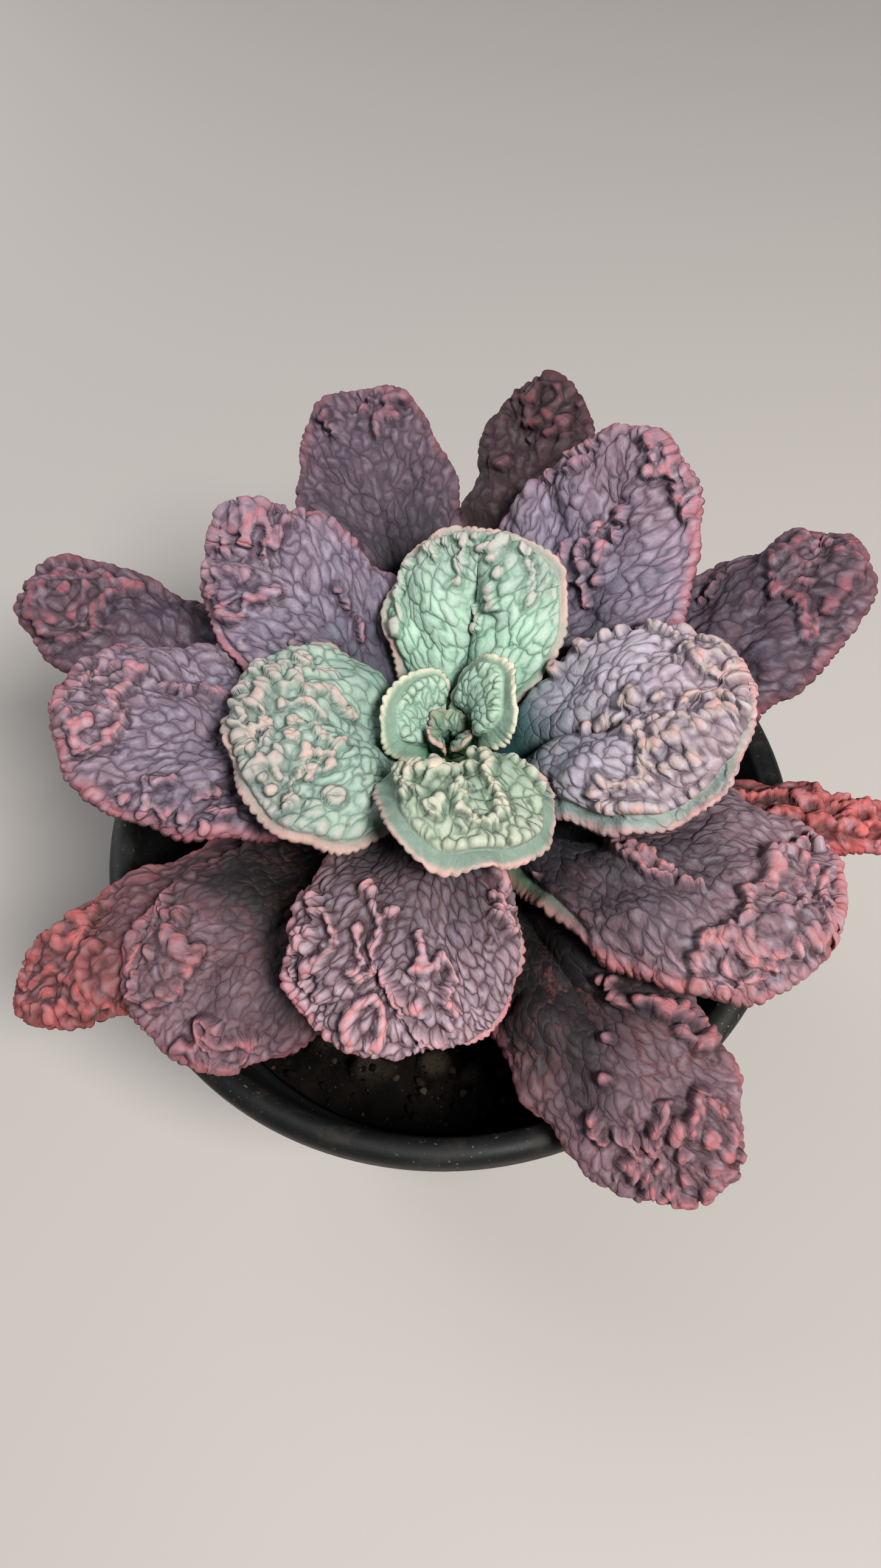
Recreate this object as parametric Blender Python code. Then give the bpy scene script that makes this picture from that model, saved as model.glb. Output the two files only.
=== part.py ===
# Potted echeveria with warted leaves, in a black nursery pot.
# Metres, +Z up. The origin is the middle of the pot's underside, where it stands.
# The plant leans a few millimetres off the pot's axis, as it grew. -Y is the front.
from dataclasses import dataclass

import bmesh
import bpy
import numpy as np

# Driving dimensions of the pot and the soil
GAP = 0.0003                 # between pieces that touch
POT_HEIGHT = 0.140
RIM_RADIUS = 0.100           # outside of the rolled lip
LIP_WIDTH = 0.0075
LIP_DROP = 0.009             # how far the lip turns down outside
WALL = 0.0018
MOUTH_RADIUS = RIM_RADIUS - LIP_WIDTH
BASE_RADIUS = 0.070
BASE_ROUNDING = 0.003        # radius of the pot's lower outside edge
FLOOR = 0.0025
STEP_HEIGHT = 0.104          # shoulder where stacked pots rest on each other
STEP_RISE = 0.003            # the shoulder slopes out over this height
STEP_WIDTH = 0.0018
DRAIN_COUNT = 6
DRAIN_RADIUS = 0.005
DRAIN_RING = 0.045           # the holes' distance from the axis
DRAIN_SIDES = 10
POT_SIDES = 40
SOIL_TOP = 0.104
SOIL_ROUGHNESS = 0.0022
SOIL_RINGS = 11
SOIL_SIDES = 32
# Larger stones in the soil: (x, y, half width, height)
PEBBLES = [
    (-0.020, -0.066, 0.0065, 0.0050), (-0.004, -0.070, 0.0070, 0.0045),
    (0.012, -0.064, 0.0060, 0.0050), (0.031, -0.058, 0.0055, 0.0035),
    (-0.045, -0.052, 0.0050, 0.0030), (0.055, -0.040, 0.0050, 0.0030),
    (-0.060, 0.020, 0.0060, 0.0040), (0.058, 0.034, 0.0060, 0.0040),
    (0.010, 0.068, 0.0060, 0.0040), (-0.034, 0.056, 0.0055, 0.0035),
]

# Driving dimensions of the stem
PLANT_X = 0.0035             # the stem's place in the pot
PLANT_Y = 0.001
STEM_FOOT = 0.074            # buried end
STEM_TOP = 0.1722
STEM_SHAPE = [(STEM_FOOT, 0.0105), (0.100, 0.0097), (0.128, 0.0092),
              (0.150, 0.0088), (0.1625, 0.0065), (0.1655, 0.0053), (0.170, 0.0046),
              (STEM_TOP, 0.0040)]
STEM_SIDES = 20

# Driving dimensions of the leaves
EDGE_THICKNESS = 0.0018
CROWN_THICKNESS = 0.0058     # at the middle of a full-grown leaf
FLANGE_WIDTH = 0.0055        # thin margin outside the swollen part of a young leaf
MIDRIB_DEPTH = 0.0011
MIDRIB_WIDTH = 0.0030
COBBLE = 0.00045             # height of the raised net between the creases
SCALLOP = 0.0009             # depth of the margin's waves
WART_HEIGHT = 0.0030
WART_REACH = 1.6             # where a wart ends, in shares of its stated half size
BUD_REACH = 0.0026           # from the stem's axis to a bud leaf's midline
BUD_LIFT = 0.0004            # a bud's foot leans, so it starts a little above the stem's top
SMALL_LEAF = 0.035           # a shorter leaf has fewer rows and columns
ROWS = 23                    # across the leaf, from its foot to its tip
SMALL_ROWS = 12
COLUMNS_ABOVE = (-1.0, -0.88, -0.66, -0.44, -0.20, 0.0, 0.20, 0.44, 0.66, 0.88, 1.0)
SMALL_COLUMNS_ABOVE = (-1.0, -0.82, -0.42, 0.0, 0.42, 0.82, 1.0)
COLUMNS_BELOW = (-1.0, -0.88, -0.44, 0.0, 0.44, 0.88, 1.0)
SMALL_COLUMNS_BELOW = (-1.0, -0.82, 0.0, 0.82, 1.0)
TIP_SHARE = 0.985            # where the last row stands before the tip's own point
SPINE_STEPS = 300            # steps in which the midline's curve is added up


@dataclass
class Leaf:
    """One leaf: angles in degrees, sizes in metres, places on it as shares of its length."""
    name: str
    heading: float           # compass direction, counter-clockwise from +X
    rise: float              # slope where it leaves the stem
    droop: float             # slope at the tip
    length: float
    width: float
    seat: float              # height of its foot on the stem
    twist: float = 0.0
    sweep: float = 0.0       # sideways curve, as a share of the length
    cup: float = 35.0        # how far the foot's margins turn up
    arch: float = 45.0       # how far the blade's margins turn down
    foot: float = 0.40       # width of the foot, as a share of the full width
    widest: float = 0.63
    blunt: float = 2.5
    late: float = 1.5        # above 1 the bend comes towards the tip
    flange: float = 0.0      # 1 where the thin margin is at its full width
    crown: float = 1.0       # thickness, as a share of a full-grown leaf's
    warts: tuple = ()        # (along, across, half length, half width), the last two in mm


BUDS = [
    Leaf("bud_back", 81, 80, 44, 0.0150, 0.0120, STEM_TOP, cup=25, arch=-35, foot=0.40, crown=0.4),
    Leaf("bud_left", 200, 84, 66, 0.0130, 0.0080, STEM_TOP, cup=20, arch=-35, foot=0.50, crown=0.4),
    Leaf("bud_right", 312, 80, 60, 0.0100, 0.0080, STEM_TOP, cup=20, arch=-25, foot=0.50, crown=0.4),
]

LEAVES = [
    Leaf("heart_right", 19, 72, 48, 0.030, 0.026, 0.1695, -4, -0.04, 45, 14, 0.33, 0.62, 2.7,
         flange=0.6, crown=0.7, warts=((0.62, 0.1, 3, 2),)),
    Leaf("heart_left", 141, 75, 53, 0.026, 0.028, 0.1665, 3, 0.01, 45, 10, 0.32, 0.64, 2.5,
         flange=0.6, crown=0.7, warts=((0.7, 0.0, 2, 2),)),
    Leaf("young_front", 277, 82, -14, 0.058, 0.045, 0.1625, -25, -0.02, 40, 40, 0.34, 0.59, 2.7, 1.1,
         flange=1, crown=0.9,
         warts=((0.75, -0.47, 3, 3), (0.60, -0.35, 2, 5), (0.76, -0.18, 3, 3), (0.82, 0.05, 3, 4),
                (0.60, 0.28, 8, 2), (0.52, 0.72, 4, 3))),
    Leaf("young_back", 69, 57, 27, 0.063, 0.051, 0.1605, -3, 0.01, 40, 45, 0.35, 0.63, 2.5,
         flange=0.8,
         warts=((0.94, 0.0, 3, 16), (0.72, -0.20, 4, 2), (0.86, -0.20, 5, 2), (0.65, 0.80, 6, 2),
                (0.82, -0.55, 5, 2), (0.87, 0.60, 3, 3))),
    Leaf("young_left", 182, 64, -2, 0.065, 0.064, 0.1575, 1, 0.02, 40, 43, 0.33, 0.59, 2.3,
         flange=0.5,
         warts=((0.66, -0.72, 4, 4), (0.78, -0.60, 4, 3), (0.62, -0.30, 6, 3), (0.90, 0.10, 4, 22),
                (0.69, 0.28, 5, 3), (0.63, 0.62, 4, 4), (0.78, 0.65, 4, 4))),
    Leaf("young_right", -12, 52, 4, 0.084, 0.060, 0.1545, 3, -0.03, 40, 50, 0.30, 0.66, 2.0,
         flange=0.9,
         warts=((0.61, 0.08, 7, 3), (0.86, 0.10, 5, 3), (0.82, -0.30, 11, 4), (0.65, -0.60, 6, 5),
                (0.86, 0.78, 9, 4))),
    Leaf("middle_back_left", 130, 43, 19, 0.093, 0.049, 0.1515, -9, -0.02, 35, 42, 0.40, 0.61, 2.0,
         warts=((0.85, -0.25, 3, 9), (0.85, 0.55, 4, 4), (0.75, 0.50, 3, 8), (0.54, -0.35, 6, 2),
                (0.95, 0.0, 4, 9))),
    Leaf("middle_front", 255, 51, -59, 0.085, 0.058, 0.1495, -8, -0.05, 30, 45, 0.30, 0.71, 2.8,
         warts=((0.61, -0.33, 5, 5), (0.73, -0.28, 5, 3), (0.80, 0.05, 4, 4), (0.72, 0.25, 5, 6),
                (0.88, -0.18, 5, 6), (0.77, -0.75, 9, 5), (0.47, 0.78, 5, 3), (0.96, 0.0, 3, 20))),
    Leaf("middle_back_right", 42, 41, 36, 0.107, 0.061, 0.1475, -4, 0.04, 30, 40, 0.36, 0.56, 1.9,
         warts=((0.77, -0.15, 5, 2), (0.70, 0.05, 4, 2), (0.63, -0.12, 5, 3), (0.93, -0.50, 6, 5),
                (0.88, 0.70, 4, 4))),
    Leaf("middle_right", 315, 37, -4, 0.107, 0.060, 0.1430, -8, 0.11, 35, 52, 0.42, 0.66, 2.6,
         warts=((0.60, -0.18, 12, 3), (0.90, 0.0, 8, 9), (0.84, -0.72, 8, 6), (0.90, 0.80, 5, 4))),
    Leaf("middle_left", 174, 39, 20, 0.106, 0.056, 0.1430, -4, -0.03, 35, 47, 0.35, 0.62, 2.5,
         warts=((0.90, 0.0, 7, 12), (0.67, -0.35, 8, 2), (0.75, 0.82, 22, 4))),
    Leaf("outer_back", 100, 40, 24, 0.120, 0.045, 0.1380, -6, -0.05, 30, 22, 0.41, 0.65, 2.7,
         warts=((0.93, -0.30, 6, 8),)),
    Leaf("outer_front_right", 286, 33, -41, 0.124, 0.048, 0.1360, 19, 0.09, 35, 47, 0.41, 0.65, 2.4,
         warts=((0.60, 0.35, 4, 4), (0.69, 0.65, 6, 5), (0.90, 0.10, 9, 11), (0.80, -0.50, 4, 5))),
    Leaf("outer_front_left", 220, 32, -14, 0.102, 0.057, 0.1315, -20, -0.10, 35, 57, 0.30, 0.66, 2.3,
         warts=((0.87, -0.55, 9, 9), (0.88, 0.45, 6, 8))),
    Leaf("lowest_back_left", 148, 26, 13, 0.138, 0.040, 0.1300, -9, -0.01, 35, 60, 0.32, 0.64, 2.7,
         warts=((0.91, 0.0, 11, 14),)),
    Leaf("lowest_back", 67, 40, 21, 0.128, 0.039, 0.1300, -10, 0.0, 30, 44, 0.39, 0.61, 2.4,
         warts=((0.92, 0.0, 10, 12), (0.78, 0.4, 5, 3))),
    Leaf("lowest_right", 17, 34, 17, 0.133, 0.048, 0.1250, -3, 0.02, 35, 52, 0.45, 0.61, 2.3,
         warts=((0.90, 0.1, 13, 14),)),
    Leaf("lowest_front_left", 201, 33, -24, 0.131, 0.039, 0.1220, 6, -0.02, 35, 52, 0.40, 0.63, 2.0,
         warts=((0.88, 0.0, 14, 12),)),
    Leaf("withered", 347, 33, -12, 0.122, 0.021, 0.1170, -6, -0.02, 60, 30, 0.39, 0.64, 2.8,
         crown=0.6, warts=((0.80, 0.2, 16, 3), (0.88, -0.5, 10, 3))),
]

# Colours in daylight, and roughness
COLOURS = {
    "pot": ((0.012, 0.013, 0.013), 0.42),
    "soil": ((0.030, 0.022, 0.017), 0.95),
    "stem": ((0.20, 0.17, 0.10), 0.75),
    "young": ((0.42, 0.54, 0.42), 0.72),
    "grown": ((0.36, 0.27, 0.29), 0.74),
    "outer": ((0.24, 0.16, 0.17), 0.76),
    "withered": ((0.46, 0.13, 0.12), 0.70),
}


def clear_scene():
    for old in list(bpy.data.objects):
        bpy.data.objects.remove(old)


def material(kind):
    """The material of this kind, made the first time it is asked for."""
    found = bpy.data.materials.get(kind)
    if found:
        return found
    colour, roughness = COLOURS[kind]
    made = bpy.data.materials.new(kind)
    made.use_nodes = True
    shader = made.node_tree.nodes["Principled BSDF"]
    shader.inputs["Base Color"].default_value = (*colour, 1.0)
    shader.inputs["Roughness"].default_value = roughness
    made.diffuse_color = (*colour, 1.0)
    return made


def add_object(name, bm, kind):
    """Turn a closed bmesh into a named object with its faces pointing out."""
    bmesh.ops.triangulate(bm, faces=bm.faces[:])
    bmesh.ops.recalc_face_normals(bm, faces=bm.faces[:])
    mesh = bpy.data.meshes.new(name)
    bm.to_mesh(mesh)
    bm.free()
    mesh.materials.append(material(kind))
    mesh.shade_smooth()
    body = bpy.data.objects.new(name, mesh)
    bpy.context.scene.collection.objects.link(body)
    return body


def smooth(x):
    """0 below 0, 1 above 1, and a soft step between."""
    x = np.clip(x, 0.0, 1.0)
    return x * x * (3.0 - 2.0 * x)


def stem_radius(height):
    heights = [point[0] for point in STEM_SHAPE]
    return float(np.interp(height, heights, [point[1] for point in STEM_SHAPE]))


# The form of a leaf

def spine(leaf, along):
    """Place and directions (outward, sideways, up from the blade) of the leaf's midline."""
    step = leaf.length / SPINE_STEPS
    share = np.linspace(0.0, 1.0, SPINE_STEPS + 1)
    middle = (share[:-1] + share[1:]) / 2
    slope = np.radians(leaf.rise + (leaf.droop - leaf.rise) * middle ** leaf.late)
    start = stem_radius(leaf.seat) + GAP if leaf.seat < STEM_TOP else BUD_REACH
    reach = start + step * np.concatenate([[0.0], np.cumsum(np.cos(slope))])
    foot_height = leaf.seat + (BUD_LIFT if leaf.seat == STEM_TOP else 0.0)
    height = foot_height + step * np.concatenate([[0.0], np.cumsum(np.sin(slope))])
    here = np.radians(leaf.rise + (leaf.droop - leaf.rise) * along ** leaf.late)
    heading = np.radians(leaf.heading)
    outward = np.array([np.cos(heading), np.sin(heading), 0.0])
    aside = np.array([-np.sin(heading), np.cos(heading), 0.0])
    upward = np.array([0.0, 0.0, 1.0])
    place = np.array([PLANT_X, PLANT_Y, 0.0]) + np.interp(along, share, reach) * outward
    place = place + leaf.sweep * leaf.length * along ** 2 * aside
    place = place + np.interp(along, share, height) * upward
    forward = np.cos(here) * outward + 2 * leaf.sweep * along * aside + np.sin(here) * upward
    forward /= np.linalg.norm(forward)
    rough_up = -np.sin(here) * outward + np.cos(here) * upward
    side = np.cross(rough_up, forward)
    side /= np.linalg.norm(side)
    up = np.cross(forward, side)
    turn = np.radians(leaf.twist) * along
    return (place, forward,
            np.cos(turn) * side + np.sin(turn) * up,
            np.cos(turn) * up - np.sin(turn) * side)


def half_width(leaf, along):
    grown = leaf.foot + (1 - leaf.foot) * smooth(along / leaf.widest) ** 0.9
    closing = np.clip((along - leaf.widest) / (1 - leaf.widest), 0.0, 1.0)
    rounded = (1 - closing ** leaf.blunt) ** (1 / leaf.blunt)
    neck = 0.6 + 0.4 * smooth(along / 0.10)
    return leaf.width / 2 * neck * (grown if along < leaf.widest else rounded)


def cross_bend(leaf, along):
    """Angle that each half of the blade turns through: up at the foot, down further out."""
    flat_tip = 1 - 0.6 * smooth((along - 0.72) / 0.28)
    return np.radians(-leaf.cup * (1 - along) ** 1.2 + leaf.arch * along ** 1.5 * flat_tip)


def blade_point(leaf, along, across, lift):
    """A point on the leaf, lifted off its middle surface."""
    place, forward, side, up = spine(leaf, along)
    half = half_width(leaf, along)
    bend = cross_bend(leaf, along)
    if abs(bend) < 1e-4:
        bend = 1e-4
    turn = bend * across
    place = place + half * np.sin(turn) / bend * side - half * (1 - np.cos(turn)) / bend * up
    return place + lift * (np.cos(turn) * up + np.sin(turn) * side)


def half_thickness(leaf, along, across):
    """Swollen in the middle, thin at the margin, with a flat flange round a young leaf."""
    half = max(half_width(leaf, along), 1e-4)
    inside = 1 - leaf.flange * FLANGE_WIDTH / half * smooth((along - 0.25) / 0.3)
    from_middle = min(abs(across) / max(inside, 0.35), 1.0)
    swelling = (CROWN_THICKNESS - EDGE_THICKNESS) / 2 * leaf.crown
    swelling *= 0.55 + 0.45 * smooth(along / 0.25)
    swelling *= 1 - 0.5 * along ** 6
    edge = EDGE_THICKNESS / 2 * (0.6 + 0.4 * leaf.crown)
    return edge + swelling * (1 - from_middle ** 3)


def wart_cover(leaf, along, across):
    """1 on a wart, 0 away from it."""
    cover = 0.0
    half = half_width(leaf, along)
    for wart_along, wart_across, long_mm, wide_mm in leaf.warts:
        far = np.hypot((along - wart_along) * leaf.length * 1000 / long_mm,
                       (across - wart_across) * half * 1000 / wide_mm)
        cover = max(cover, float(smooth(WART_REACH - far)))
    return cover


def relief(leaf, along, across, row, column):
    """What stands up from the upper face: warts, the raised net, and the midrib's groove."""
    fade = smooth(along / 0.2) * (1 - abs(across) ** 4)
    groove = MIDRIB_DEPTH * np.exp(-(across * half_width(leaf, along) / MIDRIB_WIDTH) ** 2)
    groove *= leaf.crown * smooth(along / 0.2) * (1 - smooth((along - 0.6) / 0.3))
    cobble = COBBLE * leaf.crown * (-1) ** (row + column)
    lumpy = 1.0 if (row + column) % 2 else 0.3
    warts = WART_HEIGHT * wart_cover(leaf, along, across) * lumpy * leaf.crown
    return fade * (warts + cobble) - groove


def row_places(leaf):
    """Shares of the length, closer together where the tip rounds off."""
    share = np.linspace(0.0, 1.0, SMALL_ROWS if leaf.length < SMALL_LEAF else ROWS)
    return TIP_SHARE * (share * 1.25 - 0.25 * share ** 3.0)


def seat_on_stem(leaf, point):
    """Move a point of the foot's edge onto the stem's round surface, keeping its height."""
    if leaf.seat >= STEM_TOP:
        return point
    heading = np.radians(leaf.heading)
    outward = np.array([np.cos(heading), np.sin(heading)])
    aside = np.array([-np.sin(heading), np.cos(heading)])
    flat = point[:2] - np.array([PLANT_X, PLANT_Y])
    radius = stem_radius(point[2]) + GAP
    away = float(np.clip(flat @ aside, -0.85 * radius, 0.85 * radius))
    flat = np.sqrt(radius ** 2 - away ** 2) * outward + away * aside
    return np.array([flat[0] + PLANT_X, flat[1] + PLANT_Y, point[2]])


def stitch(bm, upper, lower, columns_above, columns_below):
    """Fill the strip between two rows of points that share both their ends."""
    above, below = 0, 0
    while above < len(upper) - 1 or below < len(lower) - 1:
        take_upper = below == len(lower) - 1
        if above < len(upper) - 1 and not take_upper:
            take_upper = columns_above[above + 1] <= columns_below[below + 1] + 1e-6
        corners = [upper[above], lower[below]]
        if take_upper:
            above += 1
            corners.append(upper[above])
        else:
            below += 1
            corners.append(lower[below])
        if len(set(corners)) == 3:
            bm.faces.new(corners)


def make_leaf(leaf, kind):
    bm = bmesh.new()
    small = leaf.length < SMALL_LEAF
    columns_above = SMALL_COLUMNS_ABOVE if small else COLUMNS_ABOVE
    columns_below = SMALL_COLUMNS_BELOW if small else COLUMNS_BELOW
    upper_rows = []
    lower_rows = []
    for row, along in enumerate(row_places(leaf)):
        wave = SCALLOP * (1 if row % 2 else -1) * smooth((along - 0.15) / 0.2)
        widened = 1 + leaf.crown * wave / max(half_width(leaf, along), 1e-3)

        def add_point(across, lift):
            point = blade_point(leaf, along, across * (widened if abs(across) == 1 else 1), lift)
            if row == 0:
                point = seat_on_stem(leaf, point)
            return bm.verts.new(point)

        margins = {across: add_point(across, 0.0) for across in (-1.0, 1.0)}
        upper = []
        for column, across in enumerate(columns_above):
            lift = half_thickness(leaf, along, across) + relief(leaf, along, across, row, column)
            upper.append(margins.get(across) or add_point(across, lift))
        lower = []
        for across in columns_below:
            lift = -half_thickness(leaf, along, across)
            lower.append(margins.get(across) or add_point(across, lift))
        upper_rows.append(upper)
        lower_rows.append(lower)
    for rows, flip in ((upper_rows, False), (lower_rows, True)):
        for near, far in zip(rows[:-1], rows[1:]):
            for left in range(len(near) - 1):
                corners = [near[left], far[left], far[left + 1], near[left + 1]]
                bm.faces.new(corners[::-1] if flip else corners)
    tip = bm.verts.new(blade_point(leaf, 1.0, 0.0, 0.0))
    for last, flip in ((upper_rows[-1], False), (lower_rows[-1], True)):
        for left in range(len(last) - 1):
            corners = [last[left], tip, last[left + 1]]
            bm.faces.new(corners[::-1] if flip else corners)
    stitch(bm, upper_rows[0], lower_rows[0], columns_above, columns_below)
    return add_object(leaf.name, bm, kind)


# The stem, the soil and the pot

def turned(profile, sides, centre_x=0.0, centre_y=0.0):
    """A closed turned solid; the profile is (radius, height) points, on the axis at both ends."""
    bm = bmesh.new()
    rings = []
    for radius, height in profile:
        if radius == 0.0:
            rings.append([bm.verts.new((centre_x, centre_y, height))])
            continue
        ring = []
        for side in range(sides):
            turn = 2 * np.pi * side / sides
            place = (centre_x + radius * np.cos(turn), centre_y + radius * np.sin(turn), height)
            ring.append(bm.verts.new(place))
        rings.append(ring)
    join_rings(bm, rings)
    return bm


def join_rings(bm, rings):
    for near, far in zip(rings[:-1], rings[1:]):
        count = max(len(near), len(far))
        for side in range(count):
            after = (side + 1) % count
            corners = [near[side % len(near)], near[after % len(near)],
                       far[after % len(far)], far[side % len(far)]]
            unique = list(dict.fromkeys(corners))
            bm.faces.new(unique)


def arc(centre_radius, centre_height, size, start, end, count):
    """Points of a round corner, angles in degrees from the outward direction."""
    turns = np.radians(np.linspace(start, end, count))
    return [(centre_radius + size * np.cos(turn), centre_height + size * np.sin(turn))
            for turn in turns]


def outer_wall(height):
    """Outside radius of the pot's wall, which flares and steps out at the shoulder."""
    share = height / POT_HEIGHT
    radius = BASE_RADIUS + (MOUTH_RADIUS + WALL - BASE_RADIUS) * share
    return radius - STEP_WIDTH * (1 - float(smooth((height - STEP_HEIGHT) / STEP_RISE)))


def inner_wall(height):
    return outer_wall(height) - WALL


def make_pot():
    lip = LIP_WIDTH / 2
    lip_middle = RIM_RADIUS - lip
    lip_height = POT_HEIGHT - lip
    corner = BASE_RADIUS - STEP_WIDTH - BASE_ROUNDING
    profile = [(0.0, 0.0), (corner - BASE_ROUNDING, 0.0)]
    profile += arc(corner, BASE_ROUNDING, BASE_ROUNDING, -90, 0, 3)
    profile += [(outer_wall(height), height) for height in (0.030, 0.060, STEP_HEIGHT)]
    profile += [(outer_wall(STEP_HEIGHT + STEP_RISE), STEP_HEIGHT + STEP_RISE)]
    lip_foot = POT_HEIGHT - LIP_DROP
    profile += [(outer_wall(lip_foot), lip_foot + 0.0015), (RIM_RADIUS - 0.0022, lip_foot)]
    profile += [(RIM_RADIUS - 0.0006, lip_foot + 0.0012)]
    profile += arc(lip_middle, lip_height, lip, 0, 180, 7)
    profile += [(inner_wall(STEP_HEIGHT + STEP_RISE), STEP_HEIGHT + STEP_RISE)]
    profile += [(inner_wall(height), height) for height in (STEP_HEIGHT, 0.060, 0.012)]
    profile += [(inner_wall(FLOOR) - 0.004, FLOOR), (0.0, FLOOR)]
    pot = add_object("pot", turned(profile, POT_SIDES), "pot")
    drill_drains(pot)
    return pot


def drill_drains(pot):
    """Round drain holes through the floor."""
    bm = bmesh.new()
    for hole in range(DRAIN_COUNT):
        turn = 2 * np.pi * (hole + 0.5) / DRAIN_COUNT
        made = bmesh.ops.create_cone(bm, cap_ends=True, segments=DRAIN_SIDES, radius1=DRAIN_RADIUS,
                                     radius2=DRAIN_RADIUS, depth=4 * FLOOR)
        place = (DRAIN_RING * np.cos(turn), DRAIN_RING * np.sin(turn), FLOOR / 2)
        bmesh.ops.translate(bm, verts=made["verts"], vec=place)
    drill = add_object("drain_drill", bm, "pot")
    drill.hide_render = True
    drill.display_type = "WIRE"
    cut = pot.modifiers.new("drains", "BOOLEAN")
    cut.operation = "DIFFERENCE"
    cut.object = drill


def soil_height(x, y):
    """Lumpy soil, with clods and pebbles that show at the front where no leaf hides them."""
    waves = (np.sin(x * 210 + 0.7) * np.cos(y * 170 - 0.4) + 0.6 * np.sin(x * 430 - y * 350 + 1.9)
             + 0.5 * np.cos(x * 120 + y * 510))
    height = SOIL_TOP + SOIL_ROUGHNESS * waves / 2
    for stone_x, stone_y, size, rise in PEBBLES:
        height += rise * np.exp(-((x - stone_x) ** 2 + (y - stone_y) ** 2) / size ** 2)
    return height


def make_soil():
    """Fills the pot from its floor to below the rim, with a round hole for the stem."""
    bm = bmesh.new()
    hole = stem_radius(STEM_FOOT) + GAP
    rings = [[bm.verts.new((PLANT_X, PLANT_Y, STEM_FOOT - GAP))]]

    def add_ring(radius, centre_x, centre_y, height):
        ring = []
        for side in range(SOIL_SIDES):
            turn = 2 * np.pi * side / SOIL_SIDES
            x = centre_x + radius * np.cos(turn)
            y = centre_y + radius * np.sin(turn)
            ring.append(bm.verts.new((x, y, soil_height(x, y) if height is None else height)))
        rings.append(ring)

    add_ring(hole, PLANT_X, PLANT_Y, STEM_FOOT - GAP)
    outer = inner_wall(SOIL_TOP - 0.004) - GAP
    for step in range(SOIL_RINGS):
        share = step / (SOIL_RINGS - 1)
        keep = 1 - share
        add_ring(hole + (outer - hole) * share, PLANT_X * keep, PLANT_Y * keep, None)
    for height in (SOIL_TOP - 0.007, 0.060, 0.012):
        add_ring(inner_wall(height) - GAP, 0.0, 0.0, height)
    add_ring(inner_wall(FLOOR) - 0.006, 0.0, 0.0, FLOOR + GAP)
    rings.append([bm.verts.new((0.0, 0.0, FLOOR + GAP))])
    join_rings(bm, rings)
    return add_object("soil", bm, "soil")


def make_stem():
    profile = [(0.0, STEM_FOOT)]
    profile += [(radius, height) for height, radius in STEM_SHAPE]
    profile += [(0.0, STEM_TOP)]
    return add_object("stem", turned(profile, STEM_SIDES, PLANT_X, PLANT_Y), "stem")


def leaf_kind(leaf):
    if leaf.name == "withered":
        return "withered"
    if leaf.name.startswith(("bud", "heart", "young")):
        return "young"
    return "grown" if leaf.name.startswith("middle") else "outer"


clear_scene()
make_pot()
make_soil()
make_stem()
for each in BUDS + LEAVES:
    make_leaf(each, leaf_kind(each))
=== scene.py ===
# %% [markdown]
# # A warted echeveria in a nursery pot
#
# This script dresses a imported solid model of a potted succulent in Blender. The solids give the
# place and the main form of each piece. The cells below give the pieces what a solid leaves out:
# puckered skin, warts with frilled lips, a scalloped margin, colour that changes over a leaf, damp
# soil with stones, and moulded plastic.
#
# The frame comes first. Everything that is made afterwards uses its metres and its axes.

# %% Load the frame
import math
from dataclasses import dataclass

import bmesh
import bpy
import numpy as np
from mathutils import Matrix, Vector
from mathutils.bvhtree import BVHTree
from mathutils.kdtree import KDTree


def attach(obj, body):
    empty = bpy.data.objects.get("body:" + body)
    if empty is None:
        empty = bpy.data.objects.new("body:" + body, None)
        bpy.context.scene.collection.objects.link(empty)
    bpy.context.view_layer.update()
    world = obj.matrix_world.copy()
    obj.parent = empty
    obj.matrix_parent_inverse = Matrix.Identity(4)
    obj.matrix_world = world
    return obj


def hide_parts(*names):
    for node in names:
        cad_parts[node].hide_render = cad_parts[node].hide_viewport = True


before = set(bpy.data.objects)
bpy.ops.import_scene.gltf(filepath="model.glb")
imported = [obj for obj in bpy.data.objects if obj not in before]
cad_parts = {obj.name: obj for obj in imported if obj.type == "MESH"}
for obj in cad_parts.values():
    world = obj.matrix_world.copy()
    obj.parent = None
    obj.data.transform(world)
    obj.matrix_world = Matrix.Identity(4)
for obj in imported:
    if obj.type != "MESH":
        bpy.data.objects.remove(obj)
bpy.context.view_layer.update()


# %% [markdown]
# ## The camera
#
# The camera stands in front of the pot and looks steeply down, with a slight roll to the left. Its
# place was worked out from the ellipse that the pot's rim makes in the picture: the ellipse's
# width gives the distance, its flatness gives the slope, and its tilt gives the roll. The lens is
# that of a phone's wide camera.

# %% Camera
PICTURE_WIDTH = 1448
PICTURE_HEIGHT = 2576
FOCAL_PIXELS = 1900.0
SENSOR_MM = 36.0
LOOK_DOWN = math.radians(59.05)
ROLL = math.radians(-7.56)
RIM_HEIGHT = 0.140
RIM_DISTANCE = 0.3384            # from the camera to the rim's plane, along the view
RIM_PIXEL = (730.7, 1337.0)      # where the rim's middle is seen
NEAREST_SEEN = 0.01


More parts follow.
